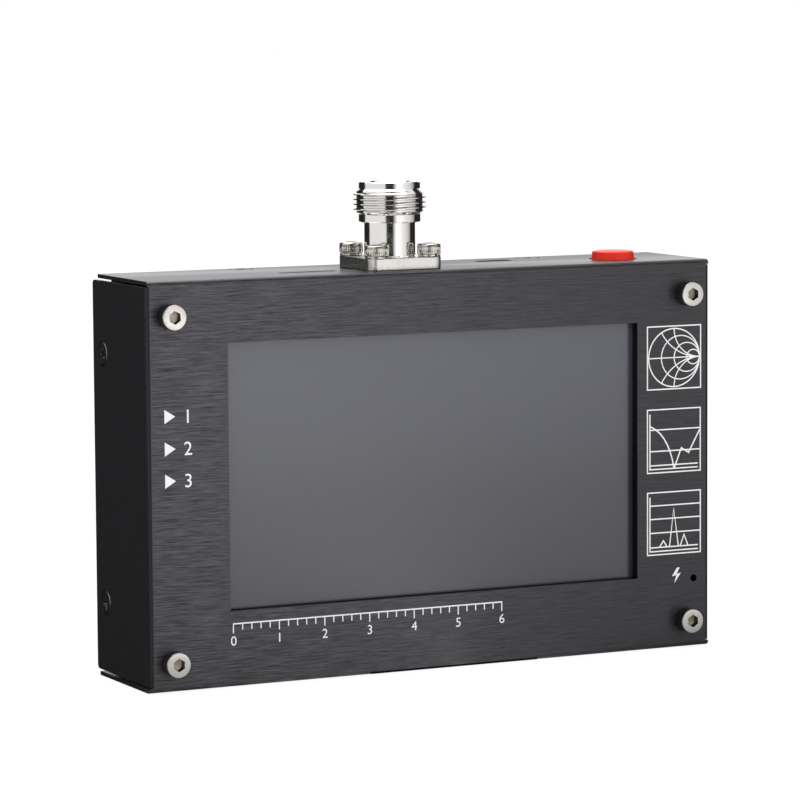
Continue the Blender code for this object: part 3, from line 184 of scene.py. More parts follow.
# Button
BUTTON_X = 50.3 * MM
BUTTON_DEPTH = 12.2 * MM
BUTTON_RADIUS = 5.0 * MM
BUTTON_PROUD = 1.9 * MM
BUTTON_HOLE_RADIUS = 5.4 * MM
BUTTON_TOP_RADIUS = 4.7 * MM
BUTTON_HEIGHT = 3.4 * MM
BUTTON_EDGE = 0.45 * MM
BUTTON_FOOT_EDGE = 0.1 * MM
BUTTON_CROWN = 0.12 * MM
BUTTON_HUB = (1.85 * MM, 2.9 * MM, 4.0 * MM)
SPRING_WIRE_RADIUS = 0.2 * MM
SPRING_TURNS = 5
SPRING_STEPS = 24
SPRING_SIDES = 10
SPRING_PLAY = 0.04 * MM

# Printed marks
PRINT_WIDTH = 0.28 * MM
FINE_WIDTH = 0.24 * MM
PRINT_PROUD = 0.02 * MM
PRINT_SUNK = 0.01 * MM
PRINT_SHIFT = -0.05 * MM
PRINT_LIFT = 0.15 * MM
PRINT_STEP = 0.002 * MM
MITRE_LIMIT = 0.45
CURVE_WIDTH = 0.3 * MM
DIGIT_SHARE = 0.73

# Shares of color over the glass and over the brushed sheet; many of them are painted light and shade
SCREEN_LIGHT_SHARES = (0.76, 1.42)
SCREEN_LIGHT_REACH = (0.038, 0.0735)
RIM_SHADE_SHARE = 0.28
RIM_SHADE_BLUR = 0.1 * MM
STREAK_SHARES = (1.25, 0.5)
STREAK_REACH = (-0.06, 0.05)
STREAK_RANGE = (0.36, 0.64)
PAINTED_LIGHT_SHARES = (1.1, 0.83)
SIDE_STREAKS = 0.2
SIDE_RANGE = (0.0, 0.5)
BEND_SHADE_SHARE = 0.35
BEND_SHADE_RANGE = (0.02, 0.2)
FLANK_LIGHT_SHARE = 1.12
FLANK_LIGHT_RANGE = (0.96, 1.0)

# Camera and studio
CAMERA_PLACE = Vector((-0.3868, -0.7725 + FRONT_Y, 0.1478))
CAMERA_YAW = math.radians(26.066)
CAMERA_PITCH = math.radians(5.876)
CAMERA_ROLL = math.radians(-0.38)
SENSOR = 36.0
FOCAL_LENGTH = 180.58
FLOOR_HALF = 5.0
FLOOR_GAP = 0.05 * MM
FLOOR_SHADES = (0.8, 0.2)
FLOOR_GLOW = (0.87, 0.9)
FLOOR_GLOW_REACH = (0.15, 0.7)
FLOOR_DEPTH_GRADING = (0.72, 1.12)
FLOOR_DEPTH_REACH = (0.1, 0.65)
SURROUND_RADIUS = 0.8
SURROUND_HEIGHT = 0.9
SURROUND_STEPS = 96
GRADING_SCALE = 4.0
WALL_GRADING = ((-180, 1.15), (-162, 1.15), (-156, 0.02), (-104, 0.02), (-98, 0.95), (-18, 0.95),
                (-12, 0.02), (12, 0.02), (28, 1.35), (45, 1.25), (60, 1.0), (80, 0.8), (99, 0.4),
                (103, 0.02), (150, 0.02), (156, 1.15), (180, 1.15))
FLOOR_GRADING = ((-180, 1.0), (-165, 1.0), (-150, 0.02), (-58, 0.02), (-45, 0.9), (28, 1.35),
                 (46, 1.8), (62, 1.0), (85, 0.95), (103, 0.4), (110, 0.05), (150, 0.05),
                 (160, 1.0), (180, 1.0))
WHITE = (1.0, 1.0, 1.0, 1.0)
WORLD_COLOR = (0.98, 0.99, 1.0, 1.0)
WORLD_STRENGTH = 0.8

UP = Vector((0, 0, 1))
DOWN = Vector((0, 0, -1))
RIGHT = Vector((1, 0, 0))
FRONT = Vector((0, -1, 0))
SIDES = {"left": -1, "right": 1}


# Materials

def link(tree, source, target):
    tree.links.new(source, target)


def node(tree, kind, inputs=None, **settings):
    """New node; each input is given as a value or as the socket that feeds it."""
    made = tree.nodes.new(kind)
    for name, value in settings.items():
        setattr(made, name, value)
    for label, value in (inputs or {}).items():
        if isinstance(value, bpy.types.NodeSocket):
            link(tree, value, made.inputs[label])
        else:
            made.inputs[label].default_value = value
    return made


def math_node(tree, operation, *values):
    return node(tree, "ShaderNodeMath", dict(enumerate(values)), operation=operation).outputs[0]


def parts_of(tree, vector):
    return node(tree, "ShaderNodeSeparateXYZ", {0: vector}).outputs


def new_material(name, color, roughness, metallic=0.0, **inputs):
    material = bpy.data.materials.new(name)
    material.use_nodes = True
    material.diffuse_color = (*color, 1.0)
    shader = material.node_tree.nodes["Principled BSDF"]
    inputs.update(Base_Color=(*color, 1.0), Roughness=roughness, Metallic=metallic)
    for label, value in inputs.items():
        shader.inputs[label.replace("_", " ")].default_value = value
    return material, material.node_tree, shader


def noise(tree, vector, scale, detail=2.0):
    inputs = {"Vector": vector, "Scale": scale, "Detail": detail}
    return node(tree, "ShaderNodeTexNoise", inputs).outputs["Fac"]


def spread(tree, value, low, high, source=(0.3, 0.7)):
    """Maps a noise value onto the range low to high."""
    inputs = {"Value": value, "From Min": source[0], "From Max": source[1], "To Min": low, "To Max": high}
    return node(tree, "ShaderNodeMapRange", inputs).outputs["Result"]


def tint(tree, shader, color, factor):
    """Base color times a factor that varies over the surface."""
    made = node(tree, "ShaderNodeVectorMath", {0: color, "Scale": factor}, operation="SCALE")
    link(tree, made.outputs["Vector"], shader.inputs["Base Color"])


def add_bump(tree, shader, height, strength, distance):
    made = node(tree, "ShaderNodeBump", {"Height": height, "Strength": strength, "Distance": distance})
    link(tree, made.outputs["Normal"], shader.inputs["Normal"])


def varied(name, color, roughness, metallic=0.0, scale=400.0, color_spread=0.08,
           roughness_spread=0.06, bump=0.1, bump_depth=0.02 * MM, share_of=None, **inputs):
    """Material whose color, roughness and height vary finely over the surface.

    share_of(tree, place) may give one more share of the color.
    """
    material, tree, shader = new_material(name, color, roughness, metallic, **inputs)
    place = node(tree, "ShaderNodeTexCoord").outputs["Object"]
    fine = noise(tree, place, scale, 4.0)
    broad = noise(tree, place, scale / 12)
    share = spread(tree, broad, 1 - color_spread, 1 + color_spread)
    if share_of:
        share = math_node(tree, "MULTIPLY", share, share_of(tree, place))
    tint(tree, shader, color, share)
    link(tree, spread(tree, fine, roughness - roughness_spread, roughness + roughness_spread),
         shader.inputs["Roughness"])
    add_bump(tree, shader, fine, bump, bump_depth)
    return material


def screen_share(tree, place):
    """Color's share on the glass, as painted light and shade: lighter towards its head, darker towards its
    foot, and painted shade on its border under the sheet's rim.
    """
    parts = parts_of(tree, place)
    share = spread(tree, parts["Z"], *SCREEN_LIGHT_SHARES, SCREEN_LIGHT_REACH)
    for axis, middle, half in (("X", WINDOW_X, WINDOW_WIDTH / 2), ("Z", WINDOW_Z, WINDOW_HEIGHT / 2)):
        away = math_node(tree, "ABSOLUTE", math_node(tree, "SUBTRACT", parts[axis], middle))
        rim_shade = spread(tree, away, 1.0, RIM_SHADE_SHARE, (half - RIM_SHADE_BLUR, half))
        share = math_node(tree, "MULTIPLY", share, rim_shade)
    return share


def brushed(name, color, roughness, metallic, contrast, bump, **inputs):
    """Sheet brushed along its width before it was bent, so the lines run round each bend. Its color also
    carries painted light: lighter to the left and darker to the right, painted shade on the upright bends and
    painted light on the side flanges.
    """
    material, tree, shader = new_material(name, color, roughness, metallic, **inputs)
    coords = node(tree, "ShaderNodeTexCoord").outputs
    place = parts_of(tree, coords["Object"])
    sideways = math_node(tree, "ABSOLUTE", parts_of(tree, coords["Normal"])["X"])
    unrolled = math_node(tree, "MULTIPLY", place["Y"], math_node(tree, "SUBTRACT", 1.0, sideways))
    across = math_node(tree, "ADD", place["Z"], unrolled)
    along = math_node(tree, "ADD", place["X"], place["Y"])

    def streaks(length, thickness):
        join = node(tree, "ShaderNodeCombineXYZ", {
            "X": math_node(tree, "MULTIPLY", along, 1 / length),
            "Y": math_node(tree, "MULTIPLY", across, 1 / thickness)})
        return noise(tree, join.outputs[0], 1.0, 3.0)

    fine = streaks(3 * MM, 0.16 * MM)
    both = math_node(tree, "MULTIPLY", math_node(tree, "ADD", streaks(8 * MM, 0.32 * MM), fine), 0.5)
    share = math_node(tree, "MULTIPLY", spread(tree, place["X"], *STREAK_SHARES, STREAK_REACH),
                      spread(tree, sideways, 1.0, SIDE_STREAKS, SIDE_RANGE))
    swing = math_node(tree, "MULTIPLY", spread(tree, both, -contrast, contrast, STREAK_RANGE), share)
    # Painted shade on the upright bends, painted light on the side flanges, and painted light that falls off
    # from left to right.
    bend = spread(tree, sideways, 1.0, BEND_SHADE_SHARE, BEND_SHADE_RANGE)
    flank = spread(tree, sideways, 0.0, FLANK_LIGHT_SHARE - BEND_SHADE_SHARE, FLANK_LIGHT_RANGE)
    shade = spread(tree, place["X"], *PAINTED_LIGHT_SHARES, STREAK_REACH)
    painted_light_tone = math_node(tree, "MULTIPLY", math_node(tree, "ADD", bend, flank), shade)
    tint(tree, shader, color, math_node(tree, "MULTIPLY", math_node(tree, "ADD", swing, 1.0), painted_light_tone))
    link(tree, spread(tree, fine, roughness - 0.06, roughness + 0.06), shader.inputs["Roughness"])
    add_bump(tree, shader, both, bump, 0.03 * MM)
    return material


def cleared_material(name):
    material = bpy.data.materials.new(name)
    material.use_nodes = True
    material.node_tree.nodes.clear()
    return material, material.node_tree


def glow(tree, strength):
    return node(tree, "ShaderNodeEmission", {"Color": WHITE, "Strength": strength}).outputs[0]


def mixed(tree, factor, first, second):
    return node(tree, "ShaderNodeMixShader", {"Fac": factor, 1: first, 2: second}).outputs[0]


# Both sheets carry the painted light and shade that brushed() puts into the color.
CASE_MATERIAL = brushed("brushed_anodised_front", (0.0605, 0.0577, 0.0645), 0.4, 0.8, 0.6, 0.3,
                        Anisotropic=0.7, Anisotropic_Rotation=0.25, Coat_Weight=0.25, Coat_Roughness=0.25)
# Near-black material for the window's upright cut edges: painted shade.
WINDOW_EDGE_SHADE = varied("cut_edge_painted_shade", (0.006, 0.006, 0.007), 0.6, scale=2500.0, Specular_IOR_Level=0.2)
REAR_MATERIAL = brushed("anodised_rear", (0.045, 0.045, 0.049), 0.48, 0.8, 0.12, 0.12,
                        Anisotropic=0.7, Anisotropic_Rotation=0.25)
NICKEL = varied("nickel_plate", (0.80, 0.79, 0.77), 0.1, 1.0, scale=900.0, color_spread=0.03,
                roughness_spread=0.03, bump=0.05)
FLANGE_NICKEL = varied("nickel_flange", (0.66, 0.65, 0.62), 0.3, 1.0, scale=1500.0, color_spread=0.04,
                       roughness_spread=0.05, bump=0.04)
STEEL = varied("bright_stainless", (0.62, 0.60, 0.57), 0.22, 1.0, scale=1500.0, roughness_spread=0.07,
               bump=0.12)
# Darker, browner steel for the floor of the hex sockets.
SOCKET_STEEL = varied("brown_socket_floor_steel", (0.34, 0.30, 0.25), 0.3, 1.0, scale=1500.0,
                      roughness_spread=0.07, bump=0.15)
# Much darker steel for the walls of the hex sockets: painted shade in the recess.
SHADED_WALL_STEEL = varied("socket_wall_painted_shade", (0.14, 0.12, 0.10), 0.35, 1.0, scale=1500.0, bump=0.1)
SIDE_STEEL = varied("knurled_steel", (0.62, 0.59, 0.55), 0.14, 1.0, scale=1500.0, bump=0.05)
# Darker copy of the bright steel for the knurled sides of the front screws' heads: painted shade.
SHADED_KNURL_STEEL = varied("knurled_steel_painted_shade", (0.24, 0.23, 0.225), 0.3, 1.0, scale=1500.0, bump=0.1)
BLACK_STEEL = varied("black_oxide_steel", (0.075, 0.075, 0.08), 0.36, 0.85, scale=1200.0)
# Lighter steel for a painted highlight on the cover screws' rims.
RIM_HIGHLIGHT_STEEL = varied("black_steel_painted_highlight", (0.26, 0.26, 0.28), 0.4, 1.0, scale=1200.0)
PRINT = varied("white_ink", (0.9, 0.9, 0.9), 0.5, scale=3000.0, color_spread=0.03, bump=0.1)
# Glass color with painted light: lighter towards the top, with painted shade on its border under the sheet's
# rim.
SCREEN = varied("screen_glass", (0.043, 0.045, 0.06), 0.2, scale=2500.0, color_spread=0.02,
                roughness_spread=0.01, bump=0.01, share_of=screen_share, Specular_IOR_Level=0.95)
FOAM = varied("black_foam", (0.004, 0.004, 0.0045), 0.85, scale=3000.0, bump=0.6, bump_depth=0.05 * MM,
              Specular_IOR_Level=0.15)
RED = varied("red_plastic", (0.9, 0.028, 0.008), 0.32, scale=900.0, color_spread=0.03, bump=0.02,
             Specular_IOR_Level=0.25)
WHITE_PLASTIC = varied("natural_plastic", (0.82, 0.82, 0.78), 0.45, scale=900.0, color_spread=0.03)
BLACK_PLASTIC = varied("black_plastic", (0.025, 0.025, 0.026), 0.45, scale=1200.0)
GOLD = varied("gold_contact", (0.83, 0.60, 0.24), 0.22, 1.0, scale=1500.0)
BRASS = varied("turned_brass", (0.68, 0.55, 0.28), 0.3, 1.0, scale=900.0)
TINNED = varied("tinned_steel", (0.62, 0.62, 0.62), 0.3, 1.0, scale=600.0, bump=0.15)
DARK_GLASS = varied("display_glass", (0.03, 0.03, 0.035), 0.12, scale=900.0, bump=0.01)
FILM = varied("amber_film", (0.48, 0.25, 0.06), 0.35, scale=700.0)
BOARD = varied("circuit_board", (0.015, 0.14, 0.05), 0.42, scale=1800.0, color_spread=0.15, bump=0.25)
FOIL = varied("pouch_foil", (0.55, 0.57, 0.6), 0.35, 0.5, scale=500.0, bump=0.3, bump_depth=0.1 * MM)


# Meshes

def new_object(name, mesh, *materials):
    obj = bpy.data.objects.new(name, mesh)
    bpy.context.collection.objects.link(obj)
    for material in materials:
        mesh.materials.append(material)
    return obj


def mesh_from(name, bm):
    mesh = bpy.data.meshes.new(name)
    bm.to_mesh(mesh)
    bm.free()
    return mesh


def smoothed(mesh, angle=SMOOTH_ANGLE):
    mesh.shade_smooth()
    mesh.set_sharp_from_angle(angle=angle)
    return mesh


def cut_mesh(name, bm, cutters, joined_shapes=(), thickness=0.0, bevel=0.0):
    """Final mesh of bm after an optional thickness, unions, cuts and a small bevel."""
    solid = new_object(name, mesh_from(name, bm))
    helpers = []
    if thickness:
        skin = solid.modifiers.new("sheet", "SOLIDIFY")
        skin.thickness = thickness
        skin.offset = -1.0
        skin.use_even_offset = True
    for shapes, operation in ((joined_shapes, "UNION"), (cutters, "DIFFERENCE")):
        for shape in shapes:
            helper = new_object(name + "_helper", mesh_from(name + "_helper", shape))
            helpers.append(helper)
            step = solid.modifiers.new("step", "BOOLEAN")
            step.operation = operation
            step.solver = "EXACT"
            step.object = helper
    if bevel:
        round_off = solid.modifiers.new("bevel", "BEVEL")
        round_off.width = bevel
        round_off.segments = 2
        round_off.limit_method = "ANGLE"
        round_off.angle_limit = BEVEL_ANGLE
    mesh = smoothed(evaluated(solid), BEVELLED_SMOOTH_ANGLE if bevel else SMOOTH_ANGLE)
    for obj in (solid, *helpers):
        bpy.data.objects.remove(obj, do_unlink=True)
    if bevel:
        mesh = flat_faces_kept(mesh)
    mesh.name = name
    return mesh


def evaluated(obj):
    seen = obj.evaluated_get(bpy.context.evaluated_depsgraph_get())
    return bpy.data.meshes.new_from_object(seen)


def flat_faces_kept(mesh):
    """Same mesh with normals weighted by area, so that only the bevels look rounded."""
    carrier = new_object("carrier", mesh)
    weighted = carrier.modifiers.new("weighted", "WEIGHTED_NORMAL")
    weighted.mode = "FACE_AREA"
    weighted.weight = 100
    weighted.keep_sharp = True
    result = evaluated(carrier)
    bpy.data.objects.remove(carrier, do_unlink=True)
    return result


def add_piece(name, mesh, looks, body, slot_name, *nodes, place=Matrix()):
    """New object that rides on a body and stands for the given CAD nodes."""
    obj = new_object(name, mesh, *looks)
    obj.matrix_world = place
    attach(obj, body)
    if nodes:
        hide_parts(*nodes)
    return obj


def block(low, high):
    low, high = Vector(low), Vector(high)
    bm = bmesh.new()
    size = Matrix.Diagonal((*(high - low), 1.0))
    bmesh.ops.create_cube(bm, size=1.0, matrix=Matrix.Translation((low + high) / 2) @ size)
    return bm


def revolve(profile, steps, shape=None, closed=False):
    """Solid of revolution about Z; shape(radius, height, angle) may change each radius."""
    bm = bmesh.new()
    rings = []
    for radius, height in profile:
        count = steps if radius else 1
        ring = []
        for step in range(count):
            angle = step / steps * math.tau
            out = shape(radius, height, angle) if shape else radius
            ring.append(bm.verts.new((out * math.cos(angle), out * math.sin(angle), height)))
        rings.append(ring)
    if closed:
        rings.append(rings[0])
    for upper, lower in zip(rings, rings[1:]):
        for step in range(steps):
            after = step + 1
            corners = [upper[step % len(upper)], lower[step % len(lower)],
                       lower[after % len(lower)], upper[after % len(upper)]]
            bm.faces.new(list(dict.fromkeys(corners)))
    bmesh.ops.recalc_face_normals(bm, faces=bm.faces)
    return bm


def rod(radius, low, high, steps=48):
    return revolve([(0, high), (radius, high), (radius, low), (0, low)], steps)


def turned_to(bm, position, direction, spin=0.0):
    """Moves a shape made about Z so that Z points along direction from position."""
    turn = UP.rotation_difference(direction).to_matrix().to_4x4() @ Matrix.Rotation(spin, 4, "Z")
    bm.transform(Matrix.Translation(position) @ turn)
    return bm


def bridge(bm, near, far):
    """Faces between two closed rings of as many vertices."""
    for k in range(len(near)):
        after = (k + 1) % len(near)
        bm.faces.new((near[k], near[after], far[after], far[k]))


def sweep(bm, rings):
    """Closed skin through rings of vertices, with a face on the first and on the last."""
    for near, far in zip(rings, rings[1:]):
        bridge(bm, near, far)
    bm.faces.new(rings[0])
    bm.faces.new(rings[-1])
    bmesh.ops.recalc_face_normals(bm, faces=bm.faces)


def merged(shapes):
    total = bmesh.new()
    for bm in shapes:
        mesh = mesh_from("shape", bm)
        total.from_mesh(mesh)
        bpy.data.meshes.remove(mesh)
    return total


def at_depth(x, depth, z):
    return Vector((x, FRONT_Y + depth, z))


# Places of the screws: name -> (position on the outer face, outward direction)

def front_screw_places(depth):
    return {f"{side}_{level}": (at_depth(FRONT_SCREW_MIDDLE + sign * FRONT_SCREW_X, depth, z), FRONT)
            for side, sign in SIDES.items() for level, z in FRONT_SCREW_HEIGHTS.items()}


def cover_screw_places():
    places = {}
    for side, sign in SIDES.items():
        for level, z in COVER_SCREW_HEIGHTS.items():
            places[f"{side}_{level}"] = (at_depth(CASE_MIDDLE + sign * CASE_WIDTH / 2, COVER_SCREW_DEPTH, z),
                                         sign * RIGHT)
        for end, (z, outward) in {"top": (CASE_HEIGHT, UP), "bottom": (0, DOWN)}.items():
            places[f"{end}_{side}"] = (at_depth(sign * COVER_SCREW_X, COVER_SCREW_DEPTH, z), outward)
    return places


def connector_screw_places(z):
    half = FLANGE_HOLE_PITCH / 2
    rows = {"front": CONNECTOR_DEPTH - half, "rear": CONNECTOR_DEPTH + half}
    return {f"{row}_{side}": (at_depth(CONNECTOR_X + sign * half, depth, z), UP)
            for row, depth in rows.items() for side, sign in SIDES.items()}


# Bent sheets

def tray_skin(width, height, side_depth, end_depth, relief, insets, corner):
    """Outer skin of a tray bent from sheet: a flat face at y = 0 and four flanges towards +Y.

    Insets are how far the left and right ends of the lower (-1) and upper (1) flange stay back.
    """
    bm = bmesh.new()
    bend = [(BEND_RADIUS * math.sin(step / BEND_STEPS * math.pi / 2),
             BEND_RADIUS * (1 - math.cos(step / BEND_STEPS * math.pi / 2)))
            for step in range(BEND_STEPS + 1)]
    flat_half = width / 2 - BEND_RADIUS
    side_low, side_high = BEND_RADIUS + relief, height - BEND_RADIUS - relief
    side_edges = {}
    end_edges = {}
    for side in (-1, 1):
        rows = [[bm.verts.new((side * (flat_half + out), back, z)) for z in (side_low, side_high)]
                for out, back in bend]
        for near, far in zip(rows, rows[1:]):
            bm.faces.new((near[0], near[1], far[1], far[0]))
        rear = [bm.verts.new((side * width / 2, y, z))
                for y, z in flange_rear_outline(side_low, side_high, side_depth, corner)]
        bm.faces.new([rows[-1][0], *rear, rows[-1][1]])
        side_edges[side] = rows[0]
    for end, base in ((-1, 0), (1, height)):
        ends = [side * (width / 2 - inset) for side, inset in zip((-1, 1), insets[end])]
        level = base - end * BEND_RADIUS
        rows = [[bm.verts.new((x, back, level + end * out)) for x in ends] for out, back in bend]
        for near, far in zip(rows, rows[1:]):
            bm.faces.new((near[0], near[1], far[1], far[0]))
        rear = [bm.verts.new((x, end_depth, base)) for x in ends]
        bm.faces.new([rows[-1][0], rows[-1][1], rear[1], rear[0]])
        on_face = rows[0]
        if ends[1] < flat_half:
            corners = [bm.verts.new((side * flat_half, 0, level)) for side in (-1, 1)]
            on_face = [corners[0], *on_face, corners[1]]
        end_edges[end] = on_face
    bm.faces.new([*end_edges[-1], *side_edges[1], *reversed(end_edges[1]), *reversed(side_edges[-1])])
    bmesh.ops.recalc_face_normals(bm, faces=bm.faces)
    if max(bm.faces, key=lambda face: face.calc_area()).normal.y > 0:
        bmesh.ops.reverse_faces(bm, faces=bm.faces)
    return bm


def flange_rear_outline(low, high, depth, corner):
    points = []
    for centre, start in ((low + corner, -math.pi / 2), (high - corner, 0)):
        for step in range(CORNER_STEPS + 1):
            angle = start + step / CORNER_STEPS * math.pi / 2
            points.append((depth - corner + corner * math.cos(angle), centre + corner * math.sin(angle)))
    return points


def flat_head(gap, top):
    """Countersunk screw from its flat top down, grown all round by gap."""
    slope = COVER_HEAD_RADIUS - SHANK_RADIUS
    head, shank, foot = COVER_HEAD_RADIUS + gap, SHANK_RADIUS + gap, -COVER_SCREW_LENGTH - gap
    return [(0, top), (head, top), (head, -COVER_HEAD_RIM), (shank, -COVER_HEAD_RIM - slope), (shank, foot),
            (0, foot)]


def slot_cutter(slot):
    x, depth, width, height = slot
    return block(at_depth(x - width / 2, depth - height / 2, CASE_HEIGHT - 2 * SHEET),
                 at_depth(x + width / 2, depth + height / 2, CASE_HEIGHT + OVERRUN))


def hole(position, outward, radius, steps=64):
    return turned_to(rod(radius, -2 * SHEET, OVERRUN, steps), position, outward)


def add_front_sheet():
    bm = tray_skin(CASE_WIDTH, CASE_HEIGHT, SIDE_DEPTH, TOP_DEPTH, CORNER_RELIEF, END_INSETS,
                   SIDE_CORNER_RADIUS)
    bm.transform(Matrix.Translation((CASE_MIDDLE, FRONT_Y, 0)))
    half_w, half_h = WINDOW_WIDTH / 2, WINDOW_HEIGHT / 2
    window = block(at_depth(WINDOW_X - half_w, -OVERRUN, WINDOW_Z - half_h),
                   at_depth(WINDOW_X + half_w, 2 * SHEET, WINDOW_Z + half_h))
    slot = block(at_depth(BOTTOM_SLOT_X[0], -OVERRUN, -OVERRUN),
                 at_depth(BOTTOM_SLOT_X[1], BOTTOM_SLOT_END, BOTTOM_SLOT_HEIGHT))
    holes = [hole(*spot, SHANK_HOLE_RADIUS) for spot in front_screw_places(0).values()]
    holes += [hole(*spot, SHANK_HOLE_RADIUS) for spot in connector_screw_places(CASE_HEIGHT).values()]
    holes += [turned_to(revolve(flat_head(COVER_HEAD_GAP, OVERRUN), 48), *spot)
              for spot in cover_screw_places().values()]
    holes += [hole(at_depth(LED_PLACE[0], 0, LED_PLACE[1]), FRONT, LED_HOLE_RADIUS),
              hole(at_depth(CONNECTOR_X, CONNECTOR_DEPTH, CASE_HEIGHT), UP, INSULATOR_RADIUS + BORE_GAP),
              hole(at_depth(BUTTON_X, BUTTON_DEPTH, CASE_HEIGHT), UP, BUTTON_HOLE_RADIUS, 96),
              window, slot, slot_cutter(CARD_SLOT), slot_cutter(USB_SLOT)]
    mesh = cut_mesh("case_front_sheet", bm, [merged(holes)], thickness=SHEET, bevel=EDGE_BEVEL)
    # Painted shade: the window's upright cut edges get the near-black material, while its lower rim keeps the
    # case color.
    for face in mesh.polygons:
        across, rise = abs(face.center.x - WINDOW_X), abs(face.center.z - WINDOW_Z)
        in_window = across < half_w + RIM_REACH and rise < half_h + RIM_REACH
        face.material_index = 1 if in_window and abs(face.normal.x) > SIDEWAYS else 0
    add_piece("case_front_sheet", mesh, (CASE_MATERIAL, WINDOW_EDGE_SHADE), "case", "case_front", "front_shell")


def add_slot_strip():
    """Black strip that closes the slot at the bottom bend: a dark piece that stands in for the shade inside
    the opening.
    """
    left, right = BOTTOM_SLOT_X
    bm = block(at_depth(left + STRIP_GAP, STRIP_FRONT, STRIP_FOOT),
               at_depth(right - STRIP_GAP, BOTTOM_SLOT_END - STRIP_GAP, BOTTOM_SLOT_HEIGHT - STRIP_GAP))
    add_piece("slot_shade_strip", mesh_from("slot_shade_strip", bm), (FOAM,), "case", "black_foam")


def add_rear_sheet():
    bm = tray_skin(CASE_WIDTH - 2 * NEST, CASE_HEIGHT - 2 * NEST, COVER_FLANGE, COVER_FLANGE,
                   COVER_CORNER_RELIEF, COVER_END_INSETS, COVER_CORNER_RADIUS)
    rear = Matrix.Translation(at_depth(CASE_MIDDLE, SIDE_DEPTH, NEST))
    bm.transform(rear @ Matrix.Rotation(math.pi, 4, "Z"))
    foot = -NEST - SHEET - COVER_COLLAR_HEIGHT
    collars = [turned_to(rod(COVER_COLLAR_RADIUS, foot, -NEST - SHEET / 2, 32), *spot)
               for spot in cover_screw_places().values()]
    holes = [turned_to(rod(SHANK_HOLE_RADIUS, foot - OVERRUN, OVERRUN, 32), *spot)
             for spot in cover_screw_places().values()]
    mesh = cut_mesh("case_rear_sheet", bm, [merged(holes)], [merged(collars)], SHEET, EDGE_BEVEL)
    add_piece("case_rear_sheet", mesh, (REAR_MATERIAL,), "case", "case_rear", "rear_cover")


# Screws

def hex_cutter(top):
    """Hex socket with a drilled bottom."""
    radius = HEX_WIDTH / 2 / math.cos(math.pi / 6)
    prism = revolve([(0, top + OVERRUN), (radius, top + OVERRUN), (radius, top - HEX_DEPTH),
                     (0, top - HEX_DEPTH - HEX_CONE)], 6)
    return turned_to(prism, Vector(), UP, math.pi / 6)


def cap_screw_mesh(name, head, shank, edge, grooves):
    """Hex socket cap screw about Z with a knurled head that stands on z = 0."""
    radius, height = head
    knurl_low, knurl_high = KNURL_FOOT, height - edge - KNURL_NECK
    profile = [(0, height)]
    for step in range(HEAD_EDGE_STEPS + 1):
        angle = (1 - step / HEAD_EDGE_STEPS) * math.pi / 2
        profile.append((radius - edge + edge * math.cos(angle), height - edge + edge * math.sin(angle)))
    profile.append((radius - KNURL_DEPTH, knurl_high + KNURL_NECK / 2))
    profile += [(radius, knurl_high - row / KNURL_ROWS * (knurl_high - knurl_low))
                for row in range(KNURL_ROWS + 1)]
    profile += [(radius - inset, z) for inset, z in HEAD_FOOT]
    profile += [(SHANK_RADIUS, 0), (SHANK_RADIUS, SHANK_CHAMFER - shank),
                (SHANK_RADIUS - SHANK_CHAMFER, -shank), (0, -shank)]

    def knurled(out, z, angle):
        if out != radius or not knurl_low < z < knurl_high:
            return out
        return out - KNURL_DEPTH * max(0.0, math.cos(grooves * angle)) ** KNURL_POWER

    mesh = cut_mesh(name, revolve(profile, grooves * 4, knurled), [hex_cutter(height)])
    for face in mesh.polygons:
        out, level = math.hypot(face.center.x, face.center.y), face.center.z
        # Painted shade in the hex socket: its walls take the darker steel of slot 3, its floor the steel of
        # slot 1.
        if out < HEX_WIDTH / 2 + HEX_MARGIN and height - HEX_REACH < level < height - HEX_TOP_MARGIN:
            face.material_index = 1 if face.normal.z > 0.5 else 3
        # Head sides below the edge; the front screws give these a darker steel as painted shade.
        elif out > SHANK_RADIUS and level < height - edge:
            face.material_index = 2
    return mesh


def cross_cutter():
    """Tapered cross recess for a screwdriver, open at z = 0."""
    bm = bmesh.new()
    loops = []
    for z, share in CROSS_LOOPS:
        long, short = CROSS_REACH * share, CROSS_HALF_WIDTH * share
        quarter = [(long, -short * 0.8), (long, short * 0.8), (short * 1.4, short * 1.4)]
        spins = [Matrix.Rotation(turn * math.pi / 2, 2) for turn in range(4)]
        points = [spin @ Vector(point) for spin in spins for point in quarter]
        loops.append([bm.verts.new((x, y, z)) for x, y in points])
    sweep(bm, loops)
    return bm


def flat_screw_mesh():
    slope = COVER_HEAD_RADIUS - SHANK_RADIUS
    rim = COVER_HEAD_LIP + COVER_HEAD_EDGE
    profile = [(0, 0), (COVER_HEAD_RADIUS - COVER_HEAD_LIP, 0), (COVER_HEAD_RADIUS, -COVER_HEAD_LIP),
               (COVER_HEAD_RADIUS, -rim), (SHANK_RADIUS, -rim - slope), (SHANK_RADIUS, -COVER_SCREW_LENGTH),
               (0, -COVER_SCREW_LENGTH)]
    mesh = cut_mesh("cover_screw_detail", revolve(profile, 64), [cross_cutter()])
    # Painted highlight: the rim and the upper walls of the cross recess get a lighter steel than the black
    # head.
    for face in mesh.polygons:
        highlighted = face.center.z > -HIGHLIGHT_DEPTH and abs(face.normal.z) < 0.95
        face.material_index = 1 if highlighted else 0
    return mesh


